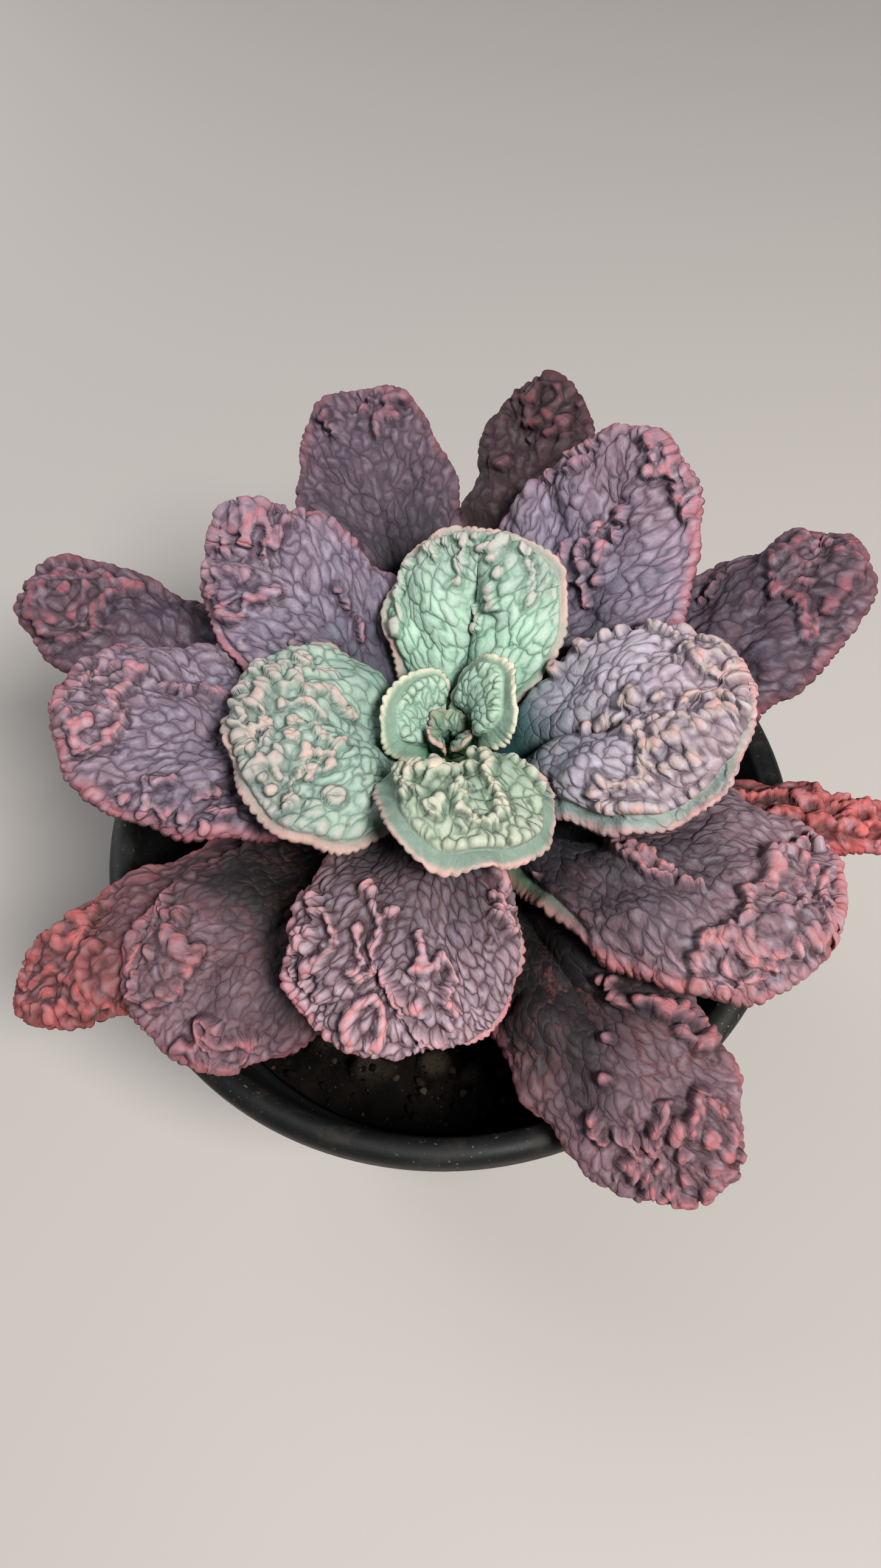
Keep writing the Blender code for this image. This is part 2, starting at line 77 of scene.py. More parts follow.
def place_camera():
    forward = Vector((0.0, math.cos(LOOK_DOWN), -math.sin(LOOK_DOWN)))
    level = Vector((1.0, 0.0, 0.0))
    raised = level.cross(forward)
    right = math.cos(ROLL) * level + math.sin(ROLL) * raised
    up = -math.sin(ROLL) * level + math.cos(ROLL) * raised
    aside = (RIM_PIXEL[0] - PICTURE_WIDTH / 2) / FOCAL_PIXELS * RIM_DISTANCE
    above = (PICTURE_HEIGHT / 2 - RIM_PIXEL[1]) / FOCAL_PIXELS * RIM_DISTANCE
    rim_middle = Vector((0.0, 0.0, RIM_HEIGHT))
    place = rim_middle - RIM_DISTANCE * forward - aside * right - above * up
    lens = bpy.data.cameras.new("camera")
    lens.sensor_width = SENSOR_MM
    lens.lens = FOCAL_PIXELS / PICTURE_HEIGHT * SENSOR_MM
    lens.clip_start = NEAREST_SEEN
    camera = bpy.data.objects.new("camera", lens)
    turn = Matrix((right, up, -forward)).transposed()
    camera.matrix_world = Matrix.Translation(place) @ turn.to_4x4()
    bpy.context.scene.collection.objects.link(camera)
    bpy.context.scene.camera = camera
    return camera


camera = place_camera()
print("camera at", [round(c, 3) for c in camera.matrix_world.translation])

# %% [markdown]
# ## Nodes written as sums
#
# Both materials and Geometry Nodes are graphs of small boxes. A long formula is easier to read as
# a formula, so a socket is wrapped in a class whose plus, minus, times, divide and power add nodes.
# The same class serves both kinds of tree, which lets the skin's pattern be written once and used
# twice: once to raise the mesh, and once to colour it.

# %% A socket in a formula
class Wire:
    """One output socket, which can stand in a formula."""

    def __init__(self, board, socket):
        self.board = board
        self.socket = socket

    def __add__(self, other):
        return self.board.math("ADD", self, other)

    __radd__ = __add__

    def __mul__(self, other):
        return self.board.math("MULTIPLY", self, other)

    __rmul__ = __mul__

    def __sub__(self, other):
        return self.board.math("SUBTRACT", self, other)

    def __rsub__(self, other):
        return self.board.math("SUBTRACT", other, self)

    def __truediv__(self, other):
        return self.board.math("DIVIDE", self, other)

    def __pow__(self, other):
        return self.board.math("POWER", self, other)


print("a wire can be added, taken away, multiplied, divided and raised to a power")

# %% A tree that nodes are added to
NODES_IN_A_ROW = 40
NODE_SPACING = (180, 300)


class Board:
    """A node tree that nodes are added to."""

    def __init__(self, tree):
        self.tree = tree
        self.column = 0

    def feed(self, socket, value):
        """Fill a socket with a value, a wire, or a list of wires."""
        if isinstance(value, list):
            for wire in value:
                self.feed(socket, wire)
        elif isinstance(value, Wire):
            self.tree.links.new(value.socket, socket)
        else:
            socket.default_value = value

    def add(self, kind, settings=None, values=None, output=0):
        """Add a node, set it up, fill its sockets and return the wire from one output."""
        node = self.tree.nodes.new(kind)
        self.column += 1
        row, column = divmod(self.column, NODES_IN_A_ROW)
        node.location = (column * NODE_SPACING[0], -row * NODE_SPACING[1])
        for name, setting in (settings or {}).items():
            setattr(node, name, setting)
        sockets = [socket for socket in node.inputs if socket.enabled]
        for name, value in (values or {}).items():
            socket = sockets[name] if isinstance(name, int) else first_named(sockets, name)
            self.feed(socket, value)
        outputs = [socket for socket in node.outputs if socket.enabled]
        if not outputs:
            return node
        chosen = outputs[output] if isinstance(output, int) else first_named(outputs, output)
        return Wire(self, chosen)

    def math(self, operation, *values):
        return self.add("ShaderNodeMath", {"operation": operation}, dict(enumerate(values)))

    def limit(self, value):
        """The value, kept between 0 and 1."""
        return self.add("ShaderNodeClamp", None, {"Value": value})

    def step(self, value, low, high):
        """A soft step: 0 below low, 1 above high."""
        return self.add("ShaderNodeMapRange", {"interpolation_type": "SMOOTHSTEP"},
                        {"Value": value, "From Min": low, "From Max": high})

    def vector(self, operation, *values):
        return self.add("ShaderNodeVectorMath", {"operation": operation}, dict(enumerate(values)))

    def scaled(self, vector, scale):
        return self.add("ShaderNodeVectorMath", {"operation": "SCALE"},
                        {"Vector": vector, "Scale": scale})

    def blend(self, share, first, second, how="MIX"):
        """Mix two colours."""
        return self.add("ShaderNodeMix", {"data_type": "RGBA", "blend_type": how},
                        {"Factor": share, "A": first, "B": second}, "Result")

    def noise(self, place, scale, detail=2.0, rough=0.5, output="Fac"):
        return self.add("ShaderNodeTexNoise", None,
                        {"Vector": place, "Scale": scale, "Detail": detail, "Roughness": rough},
                        output)


def first_named(sockets, name):
    return next(socket for socket in sockets if socket.name == name)


print("formulas can now be wired up, and their nodes stand", NODES_IN_A_ROW, "in a row")

# %% [markdown]
# ## How a leaf is described
#
# A thick succulent leaf could be sculpted by hand. Here every leaf follows one rule instead, with
# its own numbers: where it leaves the stem and how it slopes from foot to tip, how long and wide
# it is, how far its margins turn up at the foot and down at the tip, and where it is widest. A
# point on a leaf is named by two shares: how far along it is, from 0 at the foot to 1 at the tip,
# and how far across, from -1 to 1. The numbers are those of the solid leaves, so each new leaf
# lies in the place of the one that it stands for.

# %% The leaf's numbers
STEM_TOP = 0.1722
EDGE_THICKNESS = 0.0018
CROWN_THICKNESS = 0.0058
PLANT = np.array([0.0035, 0.001, 0.0])
# (height, radius) up the stem
STEM_SHAPE = [(0.074, 0.0105), (0.100, 0.0097), (0.128, 0.0092), (0.150, 0.0088),
              (0.1625, 0.0065), (0.1655, 0.0053), (0.170, 0.0046), (STEM_TOP, 0.0040)]


@dataclass
class Leaf:
    """One leaf: angles in degrees, sizes in metres, places on it as shares."""
    name: str
    heading: float
    rise: float
    droop: float
    length: float
    width: float
    seat: float
    twist: float = 0.0
    sweep: float = 0.0
    cup: float = 35.0
    arch: float = 45.0
    foot: float = 0.40
    widest: float = 0.63
    blunt: float = 2.5
    late: float = 1.5
    crown: float = 1.0


# How far each half of the blade swells up beside the midrib, in metres
HALVES = {"young_right": 0.0036, "young_left": 0.0022, "young_front": 0.0020,
          "young_back": 0.0018, "middle_right": 0.0034, "middle_front": 0.0024,
          "outer_front_right": 0.0026, "outer_front_left": 0.0024, "middle_left": 0.0018,
          "middle_back_right": 0.0016, "middle_back_left": 0.0014}
PLAIN_HALF = 0.0010
LEAVES = [
    Leaf("bud_back", 81, 78, 30, 0.0104, 0.0100, STEM_TOP, 0, 0, 25, -30, 0.46, 0.70, 3.2,
         crown=0.4),
    Leaf("bud_left", 200, 84, 60, 0.0126, 0.0076, STEM_TOP, 0, 0, 20, -45, 0.50, crown=0.4),
    Leaf("bud_right", 312, 80, 56, 0.0100, 0.0078, STEM_TOP, 0, 0, 20, -35, 0.50, crown=0.4),
    Leaf("heart_right", 19, 72, 48, 0.030, 0.026, 0.1695, -4, -0.04, 45, 14, 0.33, 0.62, 2.7,
         crown=0.7),
    Leaf("heart_left", 141, 75, 53, 0.026, 0.028, 0.1665, 3, 0.01, 45, 10, 0.32, 0.64, 2.5,
         crown=0.7),
    Leaf("young_front", 277, 82, -14, 0.058, 0.045, 0.1625, -25, -0.02, 40, 40, 0.34, 0.59, 2.7,
         1.1, 0.9),
    Leaf("young_back", 69, 57, 27, 0.063, 0.051, 0.1605, -3, 0.01, 40, 45, 0.35, 0.63, 2.5),
    Leaf("young_left", 182, 64, -2, 0.065, 0.064, 0.1575, 1, 0.02, 40, 43, 0.33, 0.59, 2.3),
    Leaf("young_right", -12, 52, 4, 0.084, 0.060, 0.1545, 3, -0.03, 40, 50, 0.30, 0.66, 2.0),
    Leaf("middle_back_left", 130, 43, 19, 0.093, 0.049, 0.1515, -9, -0.02, 35, 42, 0.40, 0.61, 2.0),
    Leaf("middle_front", 255, 51, -59, 0.085, 0.058, 0.1495, -8, -0.05, 30, 45, 0.30, 0.71, 2.8),
    Leaf("middle_back_right", 42, 41, 36, 0.107, 0.061, 0.1475, -4, 0.04, 30, 40, 0.36, 0.56, 1.9),
    Leaf("middle_right", 315, 37, -4, 0.107, 0.060, 0.1430, -8, 0.11, 35, 52, 0.42, 0.66, 2.6),
    Leaf("middle_left", 174, 39, 20, 0.106, 0.056, 0.1430, -4, -0.03, 35, 47, 0.35, 0.62, 2.5),
    Leaf("outer_back", 100, 40, 24, 0.120, 0.045, 0.1380, -6, -0.05, 30, 22, 0.41, 0.65, 2.7),
    Leaf("outer_front_right", 286, 33, -41, 0.124, 0.048, 0.1360, 19, 0.09, 35, 47, 0.41, 0.65,
         2.4),
    Leaf("outer_front_left", 220, 32, -14, 0.102, 0.057, 0.1315, -20, -0.10, 35, 57, 0.30, 0.66,
         2.3),
    Leaf("lowest_back_left", 148, 26, 13, 0.138, 0.040, 0.1300, -9, -0.01, 35, 60, 0.32, 0.64, 2.7),
    Leaf("lowest_back", 67, 40, 21, 0.128, 0.039, 0.1300, -10, 0.0, 30, 44, 0.39, 0.61, 2.4),
    Leaf("lowest_right", 17, 34, 17, 0.133, 0.048, 0.1250, -3, 0.02, 35, 52, 0.45, 0.61, 2.3),
    Leaf("lowest_front_left", 201, 33, -24, 0.131, 0.039, 0.1220, 6, -0.02, 35, 52, 0.40, 0.63,
         2.0),
    Leaf("withered", 347, 33, -12, 0.122, 0.021, 0.1170, -6, -0.02, 60, 30, 0.39, 0.64, 2.8,
         crown=0.6),
]
SAMPLE = LEAVES[7]               # the leaf whose measures are printed
print(len(LEAVES), "leaves and buds;", SAMPLE.name, "is", round(1000 * SAMPLE.length), "mm long")

# %% The leaf's midline
SPINE_STEPS = 300
BUD_START = 0.0026               # how far from the axis a bud stands on the stem's top
BUD_LIFT = 0.0004


def soft_step(x):
    x = np.clip(x, 0.0, 1.0)
    return x * x * (3.0 - 2.0 * x)


def stem_radius(height):
    heights = [point[0] for point in STEM_SHAPE]
    return np.interp(height, heights, [point[1] for point in STEM_SHAPE])


def spine(leaf, along):
    """Places and directions (forward, sideways, up) of the leaf's midline."""
    step = leaf.length / SPINE_STEPS
    share = np.linspace(0.0, 1.0, SPINE_STEPS + 1)
    middle = (share[:-1] + share[1:]) / 2
    slope = np.radians(leaf.rise + (leaf.droop - leaf.rise) * middle ** leaf.late)
    on_top = leaf.seat == STEM_TOP
    start = BUD_START if on_top else float(stem_radius(leaf.seat))
    reach = start + step * np.concatenate([[0.0], np.cumsum(np.cos(slope))])
    height = step * np.concatenate([[0.0], np.cumsum(np.sin(slope))])
    height = leaf.seat + BUD_LIFT * on_top + height
    here = np.radians(leaf.rise + (leaf.droop - leaf.rise) * along ** leaf.late)[..., None]
    heading = np.radians(leaf.heading)
    outward = np.array([np.cos(heading), np.sin(heading), 0.0])
    aside = np.array([-np.sin(heading), np.cos(heading), 0.0])
    upward = np.array([0.0, 0.0, 1.0])
    place = PLANT + np.interp(along, share, reach)[..., None] * outward
    place = place + (leaf.sweep * leaf.length * along ** 2)[..., None] * aside
    place = place + np.interp(along, share, height)[..., None] * upward
    forward = np.cos(here) * outward + np.sin(here) * upward
    forward = forward + (2 * leaf.sweep * along)[..., None] * aside
    forward /= np.linalg.norm(forward, axis=-1, keepdims=True)
    side = np.cross(-np.sin(here) * outward + np.cos(here) * upward, forward)
    side /= np.linalg.norm(side, axis=-1, keepdims=True)
    up = np.cross(forward, side)
    turn = np.radians(leaf.twist) * along[..., None]
    return (place, forward, np.cos(turn) * side + np.sin(turn) * up,
            np.cos(turn) * up - np.sin(turn) * side)


highest = max(spine(leaf, np.array([1.0]))[0][0][2] for leaf in LEAVES)
print("the highest leaf tip is", round(1000 * highest), "mm over the floor")

# %% The leaf's blade
FLATTEST = 1e-4                  # least bend in radians, which keeps the sums below finite


def half_width(leaf, along):
    grown = leaf.foot + (1 - leaf.foot) * soft_step(along / leaf.widest) ** 0.9
    closing = np.clip((along - leaf.widest) / (1 - leaf.widest), 0.0, 1.0)
    rounded = (1 - closing ** leaf.blunt) ** (1 / leaf.blunt)
    neck = 0.6 + 0.4 * soft_step(along / 0.10)
    return leaf.width / 2 * neck * np.where(along < leaf.widest, grown, rounded)


def bent_blade(leaf, along, across):
    """Points on the middle surface, with its forward, sideways and up directions there."""
    place, forward, side, up = spine(leaf, along)
    half = half_width(leaf, along)
    flat_tip = 1 - 0.6 * soft_step((along - 0.72) / 0.28)
    bend = np.radians(-leaf.cup * (1 - along) ** 1.2 + leaf.arch * along ** 1.5 * flat_tip)
    bend = np.where(np.abs(bend) < FLATTEST, FLATTEST, bend)
    turn = (bend * across)[..., None]
    out = (half / bend)[..., None] * np.sin(turn)
    drop = (half / bend)[..., None] * (1 - np.cos(turn))
    place = place + out * side - drop * up
    return (place, forward, np.cos(turn) * side - np.sin(turn) * up,
            np.cos(turn) * up + np.sin(turn) * side)


tips = [bent_blade(leaf, np.array([1.0]), np.array([0.0]))[0][0] for leaf in LEAVES]
furthest = max(math.hypot(*tip[:2]) for tip in tips)
print("leaf tips reach", round(1000 * furthest), "mm from the axis")

# %% [markdown]
# ## Where the warts grow
#
# This plant is grown for its caruncles: lumps and frills that stand up on the blade. No noise
# puts them where they grew, so the large ones are listed one by one. A ridge is a row of lobes
# that follows a few points, and a worm is a smooth one. A ring is a blister with a sunken middle. A
# plate is a raised region with a lobed lip round it, which is how most leaf tips end. Points are
# (along, across) on the leaf and sizes are in millimetres. A patch only says where the skin breaks
# up into crowded frills.

# %% Words for the warts
def ridge(width, *points):
    return ("ridge", width, 0.0, points)


def worm(width, *points):
    return ("worm", width, 0.0, points)


def ring(radius, along, across, width=1.7):
    return ("ring", width, radius, ((along, across),))


def plate(*corners):
    return ("plate", 0.0, 0.0, corners)


print("a ring is written as", ring(2.0, 0.75, -0.47))

# %% Warts of the young leaves
WARTS = {
    "young_front": [
        ring(2.0, 0.75, -0.47), ring(1.5, 0.53, 0.72), ring(1.4, 0.62, 0.78),
        ridge(2.3, (0.55, -0.5), (0.62, -0.4), (0.61, -0.26), (0.54, -0.2)),
        ridge(2.0, (0.4, -0.32), (0.47, -0.14), (0.44, 0.02), (0.5, 0.1)),
        ridge(2.3, (0.68, -0.27), (0.75, -0.2), (0.8, -0.12)),
        ridge(2.0, (0.78, -0.16), (0.84, -0.09), (0.79, 0.0), (0.85, 0.08), (0.8, 0.17),
              (0.74, 0.2)),
        ridge(2.3, (0.42, 0.24), (0.52, 0.31), (0.6, 0.24), (0.68, 0.31), (0.76, 0.28)),
        ridge(1.8, (0.46, 0.62), (0.5, 0.8), (0.58, 0.88)),
        ridge(2.0, (0.5, -0.72), (0.58, -0.66), (0.66, -0.7)),
    ],
    "young_back": [
        ridge(2.6, (0.68, -0.23), (0.74, -0.18)), ridge(2.8, (0.8, -0.23), (0.9, -0.17)),
        ridge(2.4, (0.83, 0.5), (0.88, 0.6), (0.89, 0.7)),
        ridge(2.2, (0.52, 0.8), (0.6, 0.76), (0.68, 0.84), (0.76, 0.78), (0.82, 0.84)),
        ridge(2.2, (0.7, -0.56), (0.76, -0.52), (0.82, -0.6), (0.88, -0.52)),
        ring(1.7, 0.925, -0.6), ring(1.6, 0.945, -0.28), ring(1.7, 0.950, 0.06),
        ring(1.6, 0.940, 0.38), ring(1.5, 0.915, 0.68),
        ridge(2.2, (0.58, -0.05), (0.63, -0.12), (0.66, -0.05)),
        ridge(2.0, (0.74, 0.22), (0.79, 0.15), (0.84, 0.24), (0.88, 0.2)),
    ],
    "young_left": [
        ring(2.4, 0.66, -0.72, 2.2), ring(2.3, 0.925, 0.2), ring(2.2, 0.63, 0.62, 2.2),
        ring(2.0, 0.83, -0.8),
        ridge(2.5, (0.74, -0.66), (0.8, -0.6), (0.79, -0.47)),
        ridge(2.3, (0.82, -0.4), (0.87, -0.34), (0.85, -0.22)),
        ridge(2.8, (0.5, -0.2), (0.56, -0.28), (0.62, -0.34), (0.67, -0.3), (0.72, -0.38)),
        ridge(2.5, (0.73, -0.5), (0.68, -0.56), (0.63, -0.5), (0.57, -0.52)),
        ridge(2.6, (0.6, 0.2), (0.66, 0.28), (0.72, 0.24)),
        ridge(2.4, (0.64, 0.4), (0.7, 0.34), (0.75, 0.42)),
        ridge(2.5, (0.76, 0.66), (0.81, 0.6), (0.8, 0.74)),
        ridge(2.4, (0.84, 0.46), (0.9, 0.4), (0.88, 0.56)),
        ridge(2.3, (0.86, -0.08), (0.92, -0.04), (0.95, 0.02)),
        ridge(2.3, (0.9, -0.32), (0.94, -0.24), (0.93, -0.14)),
    ],
    "young_right": [
        ridge(3.0, (0.5, 0.0), (0.56, 0.05), (0.61, 0.03), (0.64, 0.1)),
        ring(2.1, 0.665, 0.13, 2.4), ring(1.1, 0.735, 0.1, 2.0),
        worm(2.6, (0.8, 0.03), (0.79, 0.13), (0.83, 0.18), (0.86, 0.08), (0.9, 0.13),
             (0.93, 0.05)),
        plate((0.66, -0.18), (0.72, -0.12), (0.75, -0.22), (0.8, -0.14), (0.85, -0.24),
              (0.88, -0.1), (0.96, -0.1), (0.99, -0.45), (0.93, -0.86), (0.76, -0.9),
              (0.6, -0.84), (0.56, -0.72), (0.6, -0.58), (0.66, -0.68), (0.7, -0.56),
              (0.68, -0.44), (0.76, -0.52), (0.82, -0.46), (0.79, -0.3), (0.72, -0.36)),
        plate((0.8, 0.64), (0.85, 0.5), (0.92, 0.44), (0.96, 0.6), (0.92, 0.84), (0.84, 0.88)),
        ring(1.8, 0.42, 0.78, 2.2), ring(1.5, 0.5, 0.84, 2.2),
        ridge(2.6, (0.56, 0.84), (0.62, 0.88)), ridge(2.2, (0.7, 0.86), (0.75, 0.8)),
    ],
}
print(sum(len(marks) for marks in WARTS.values()), "warts on the young leaves")

# %% Warts of the middle leaves
WARTS.update({
    "middle_back_left": [
        ridge(2.6, (0.8, 0.02), (0.85, -0.12), (0.82, -0.28), (0.88, -0.42), (0.85, -0.6)),
        ridge(2.3, (0.8, 0.4), (0.86, 0.5), (0.84, 0.62), (0.89, 0.72)),
        ridge(2.8, (0.76, 0.46), (0.71, 0.38), (0.75, 0.28)), ring(2.0, 0.72, 0.18, 2.4),
        ridge(2.3, (0.74, 0.52), (0.71, 0.66), (0.76, 0.8)),
        ridge(2.3, (0.46, -0.28), (0.52, -0.38), (0.57, -0.34), (0.61, -0.4)),
        ring(1.0, 0.57, 0.35, 1.8),
        plate((0.93, -0.5), (0.9, -0.2), (0.93, 0.08), (0.9, 0.38), (0.94, 0.56),
              (0.985, 0.2), (0.98, -0.3)),
    ],
    "middle_front": [
        ridge(2.5, (0.57, -0.43), (0.6, -0.33), (0.65, -0.31), (0.62, -0.18)),
        ridge(2.3, (0.67, -0.41), (0.72, -0.38), (0.79, -0.37), (0.8, -0.29), (0.75, -0.25),
              (0.67, -0.26)),
        ridge(2.5, (0.76, -0.12), (0.81, -0.06), (0.79, 0.04), (0.85, 0.1), (0.82, 0.18)),
        ridge(2.4, (0.66, 0.11), (0.73, 0.13), (0.76, 0.21), (0.69, 0.27), (0.71, 0.36),
              (0.79, 0.37), (0.86, 0.42)),
        worm(2.6, (0.94, -0.36), (0.9, -0.37), (0.86, -0.33), (0.835, -0.24), (0.85, -0.14),
             (0.89, -0.1), (0.93, -0.13), (0.935, -0.2)),
        ridge(2.2, (0.61, -0.8), (0.67, -0.7), (0.65, -0.58), (0.72, -0.56), (0.78, -0.64)),
        ridge(2.2, (0.7, -0.82), (0.75, -0.74), (0.82, -0.76)), ring(1.8, 0.85, -0.6, 2.2),
        ridge(2.6, (0.43, 0.7), (0.48, 0.78), (0.53, 0.72), (0.58, 0.8)),
        ridge(2.2, (0.88, 0.2), (0.92, 0.34), (0.89, 0.46)),
    ],
    "middle_back_right": [
        ridge(3.2, (0.73, -0.2), (0.8, -0.13)), ridge(2.8, (0.68, 0.02), (0.73, 0.07)),
        ridge(3.2, (0.62, -0.2), (0.68, -0.14)), ridge(2.8, (0.62, 0.12), (0.66, 0.18)),
        ridge(2.6, (0.55, -0.22), (0.59, -0.17)), ring(1.6, 0.57, 0.14, 2.2),
        plate((0.9, -0.32), (0.93, -0.52), (0.87, -0.7), (0.84, -0.88), (0.91, -0.95),
              (0.96, -0.7), (0.98, -0.3)),
        ridge(3.0, (0.84, 0.62), (0.88, 0.72), (0.9, 0.66)), ring(2.0, 0.79, 0.84, 2.4),
    ],
    "middle_right": [
        ridge(2.2, (0.49, -0.1), (0.56, -0.15), (0.63, -0.17), (0.69, -0.24), (0.72, -0.21)),
        ridge(2.0, (0.51, -0.18), (0.58, -0.24), (0.65, -0.27)),
        plate((0.8, -0.5), (0.84, -0.32), (0.8, -0.12), (0.85, 0.08), (0.81, 0.28),
              (0.86, 0.44), (0.94, 0.42), (0.985, 0.0), (0.97, -0.35), (0.9, -0.58)),
        ridge(3.0, (0.87, 0.72), (0.91, 0.82), (0.88, 0.88)),
        plate((0.76, -0.62), (0.8, -0.54), (0.86, -0.6), (0.91, -0.68), (0.88, -0.9),
              (0.78, -0.92)),
    ],
    "middle_left": [
        plate((0.83, -0.42), (0.88, -0.12), (0.84, 0.16), (0.88, 0.48), (0.93, 0.6),
              (0.985, 0.2), (0.98, -0.3), (0.91, -0.62)),
        ridge(2.7, (0.57, -0.31), (0.65, -0.38), (0.71, -0.32), (0.77, -0.39)),
        ring(1.4, 0.48, 0.84, 2.2), ridge(2.4, (0.55, 0.8), (0.6, 0.87)),
        ring(1.6, 0.66, 0.82, 2.3), ridge(2.4, (0.71, 0.86), (0.75, 0.78)),
        ring(1.5, 0.8, 0.82, 2.2),
        ridge(2.2, (0.6, 0.62), (0.65, 0.66)), ridge(2.2, (0.7, 0.6), (0.76, 0.64)),
    ],
})
print(sum(len(marks) for marks in WARTS.values()), "warts with those of the middle leaves")

# %% Warts of the outer leaves
WARTS.update({
    "outer_back": [
        ridge(2.8, (0.87, -0.18), (0.92, -0.32), (0.89, -0.48), (0.95, -0.6), (0.94, -0.78)),
        ridge(2.4, (0.9, 0.45), (0.94, 0.6)),
    ],
    "outer_front_right": [
        ridge(2.7, (0.56, 0.3), (0.6, 0.37), (0.63, 0.33)),
        ridge(3.0, (0.63, 0.48), (0.68, 0.58), (0.67, 0.7), (0.73, 0.76), (0.77, 0.86)),
        plate((0.82, -0.36), (0.86, -0.12), (0.82, 0.1), (0.87, 0.34), (0.82, 0.56),
              (0.9, 0.74), (0.97, 0.46), (0.985, 0.0), (0.96, -0.44), (0.88, -0.56)),
        ridge(2.7, (0.76, -0.48), (0.81, -0.58)), ring(1.3, 0.72, -0.2, 2.0),
        ring(1.2, 0.66, 0.04, 1.8),
    ],
    "outer_front_left": [
        plate((0.76, -0.93), (0.8, -0.72), (0.76, -0.56), (0.83, -0.44), (0.79, -0.26),
              (0.86, -0.1), (0.94, -0.12), (0.96, -0.55), (0.88, -0.92)),
        ring(3.0, 0.875, 0.42, 2.4),
        plate((0.8, 0.66), (0.85, 0.56), (0.9, 0.66), (0.95, 0.5), (0.94, 0.82), (0.86, 0.92)),
    ],
    "lowest_back_left": [
        plate((0.8, -0.6), (0.84, -0.2), (0.81, 0.2), (0.86, 0.7), (0.94, 0.6),
              (0.985, 0.0), (0.94, -0.6)),
        ridge(2.6, (0.72, 0.5), (0.77, 0.62)),
    ],
    "lowest_back": [ridge(2.8, (0.86, -0.5), (0.91, -0.2), (0.88, 0.1), (0.93, 0.4)),
                    ring(2.0, 0.78, 0.4, 2.2)],
    "lowest_right": [
        plate((0.79, -0.6), (0.84, -0.25), (0.8, 0.1), (0.85, 0.5), (0.92, 0.7),
              (0.985, 0.1), (0.95, -0.5)),
        ridge(2.6, (0.68, 0.55), (0.74, 0.66)),
    ],
    "lowest_front_left": [
        plate((0.78, -0.7), (0.83, -0.3), (0.79, 0.05), (0.84, 0.45), (0.8, 0.8),
              (0.92, 0.7), (0.985, 0.0), (0.93, -0.6)),
    ],
    "withered": [ridge(2.6, (0.66, -0.3), (0.76, -0.1), (0.86, -0.3), (0.95, -0.1)),
                 ridge(2.4, (0.62, 0.4), (0.72, 0.55), (0.82, 0.3), (0.92, 0.4))],
})
print(sum(len(marks) for marks in WARTS.values()), "warts in all")

# %% Patches of frills
# (along, across, half length, half width) of the places where the skin breaks into frills
PATCHES = {
    "young_back": [(0.93, 0.0, 3, 14)],
    "young_left": [(0.8, 0.0, 14, 22)],
    "young_front": [(0.6, -0.4, 9, 7)],
    "young_right": [(0.88, 0.65, 8, 7)],
    "middle_back_left": [(0.9, 0.0, 6, 14), (0.8, 0.7, 8, 4)],
    "middle_front": [(0.76, -0.74, 9, 5), (0.55, 0.75, 8, 4)],
    "middle_left": [(0.9, 0.0, 9, 14), (0.68, 0.8, 20, 5)],
    "middle_right": [(0.9, 0.0, 9, 12), (0.84, -0.76, 9, 6)],
    "middle_back_right": [(0.91, -0.65, 6, 7), (0.62, 0.0, 11, 8), (0.86, 0.7, 6, 6)],
    "outer_back": [(0.93, -0.3, 6, 10)],
    "outer_front_right": [(0.89, 0.1, 13, 14), (0.7, 0.72, 11, 5)],
    "outer_front_left": [(0.86, -0.58, 9, 9), (0.89, 0.55, 7, 8)],
    "lowest_back_left": [(0.9, 0.0, 13, 14)],
    "lowest_back": [(0.92, 0.0, 10, 12)],
    "lowest_right": [(0.9, 0.1, 13, 14)],
    "lowest_front_left": [(0.88, 0.0, 15, 13)],
    "withered": [(0.85, 0.0, 20, 9)],
}
print(len(PATCHES), "leaves have patches of frills")

# %% [markdown]
# ## How far from a wart, and how far from the margin
#
# A ridge isn't a smooth tube: it is a row of small round lobes, like popcorn on a string. So each
# mark becomes a row of beads, and each point of the skin gets one number, how many millimetres it
# lies inside the nearest bead, negative outside. A wart's height and its pink colour can both be
# read from that number. The marks are measured on the leaf laid flat. Where the skin of a tip
# breaks up into crowded frills, they come from a sum of waves that all have one length but run
# every way, which makes a maze of worms instead of hills.

# %% Places on the flat leaf
TINY = 1e-9                      # keeps a division by a length of nothing finite


def to_segment(flat, start, end):
    """Distance from each flat place to a straight stretch."""
    way = end - start
    share = np.clip(((flat - start) @ way) / max(way @ way, TINY), 0.0, 1.0)
    return np.linalg.norm(flat - start - share[:, None] * way, axis=1)


def inside_ring_of(flat, corners):
    """True where a flat place lies inside the polygon."""
    inside = np.zeros(len(flat), bool)
    for start, end in zip(corners, np.roll(corners, -1, axis=0)):
        spans = (start[1] > flat[:, 1]) != (end[1] > flat[:, 1])
        rise = end[1] - start[1]
        rise = rise if abs(rise) > TINY else TINY
        crossing = start[0] + (end[0] - start[0]) * (flat[:, 1] - start[1]) / rise
        inside ^= spans & (flat[:, 0] < crossing)
    return inside


def shaken(flat, seed):
    """Flat places moved under a millimetre by a few sines, so that outlines wander."""
    u, v = flat[:, 0], flat[:, 1]
    along = 0.50 * np.sin(0.85 * v + 0.35 * u + seed) + 0.15 * np.sin(1.7 * v - 0.8 * u + 2 * seed)
    across = 0.50 * np.sin(0.80 * u - 0.30 * v + 3 * seed) + 0.15 * np.sin(1.6 * u + 0.7 * v + seed)
    return flat + np.stack([along, across], axis=1)


def flat_place(leaf, along, across):
    """Place on the leaf laid flat, in millimetres from its foot and from its midline."""
    return np.stack([1000 * leaf.length * along,
                     1000 * half_width(leaf, along) * across], axis=-1)


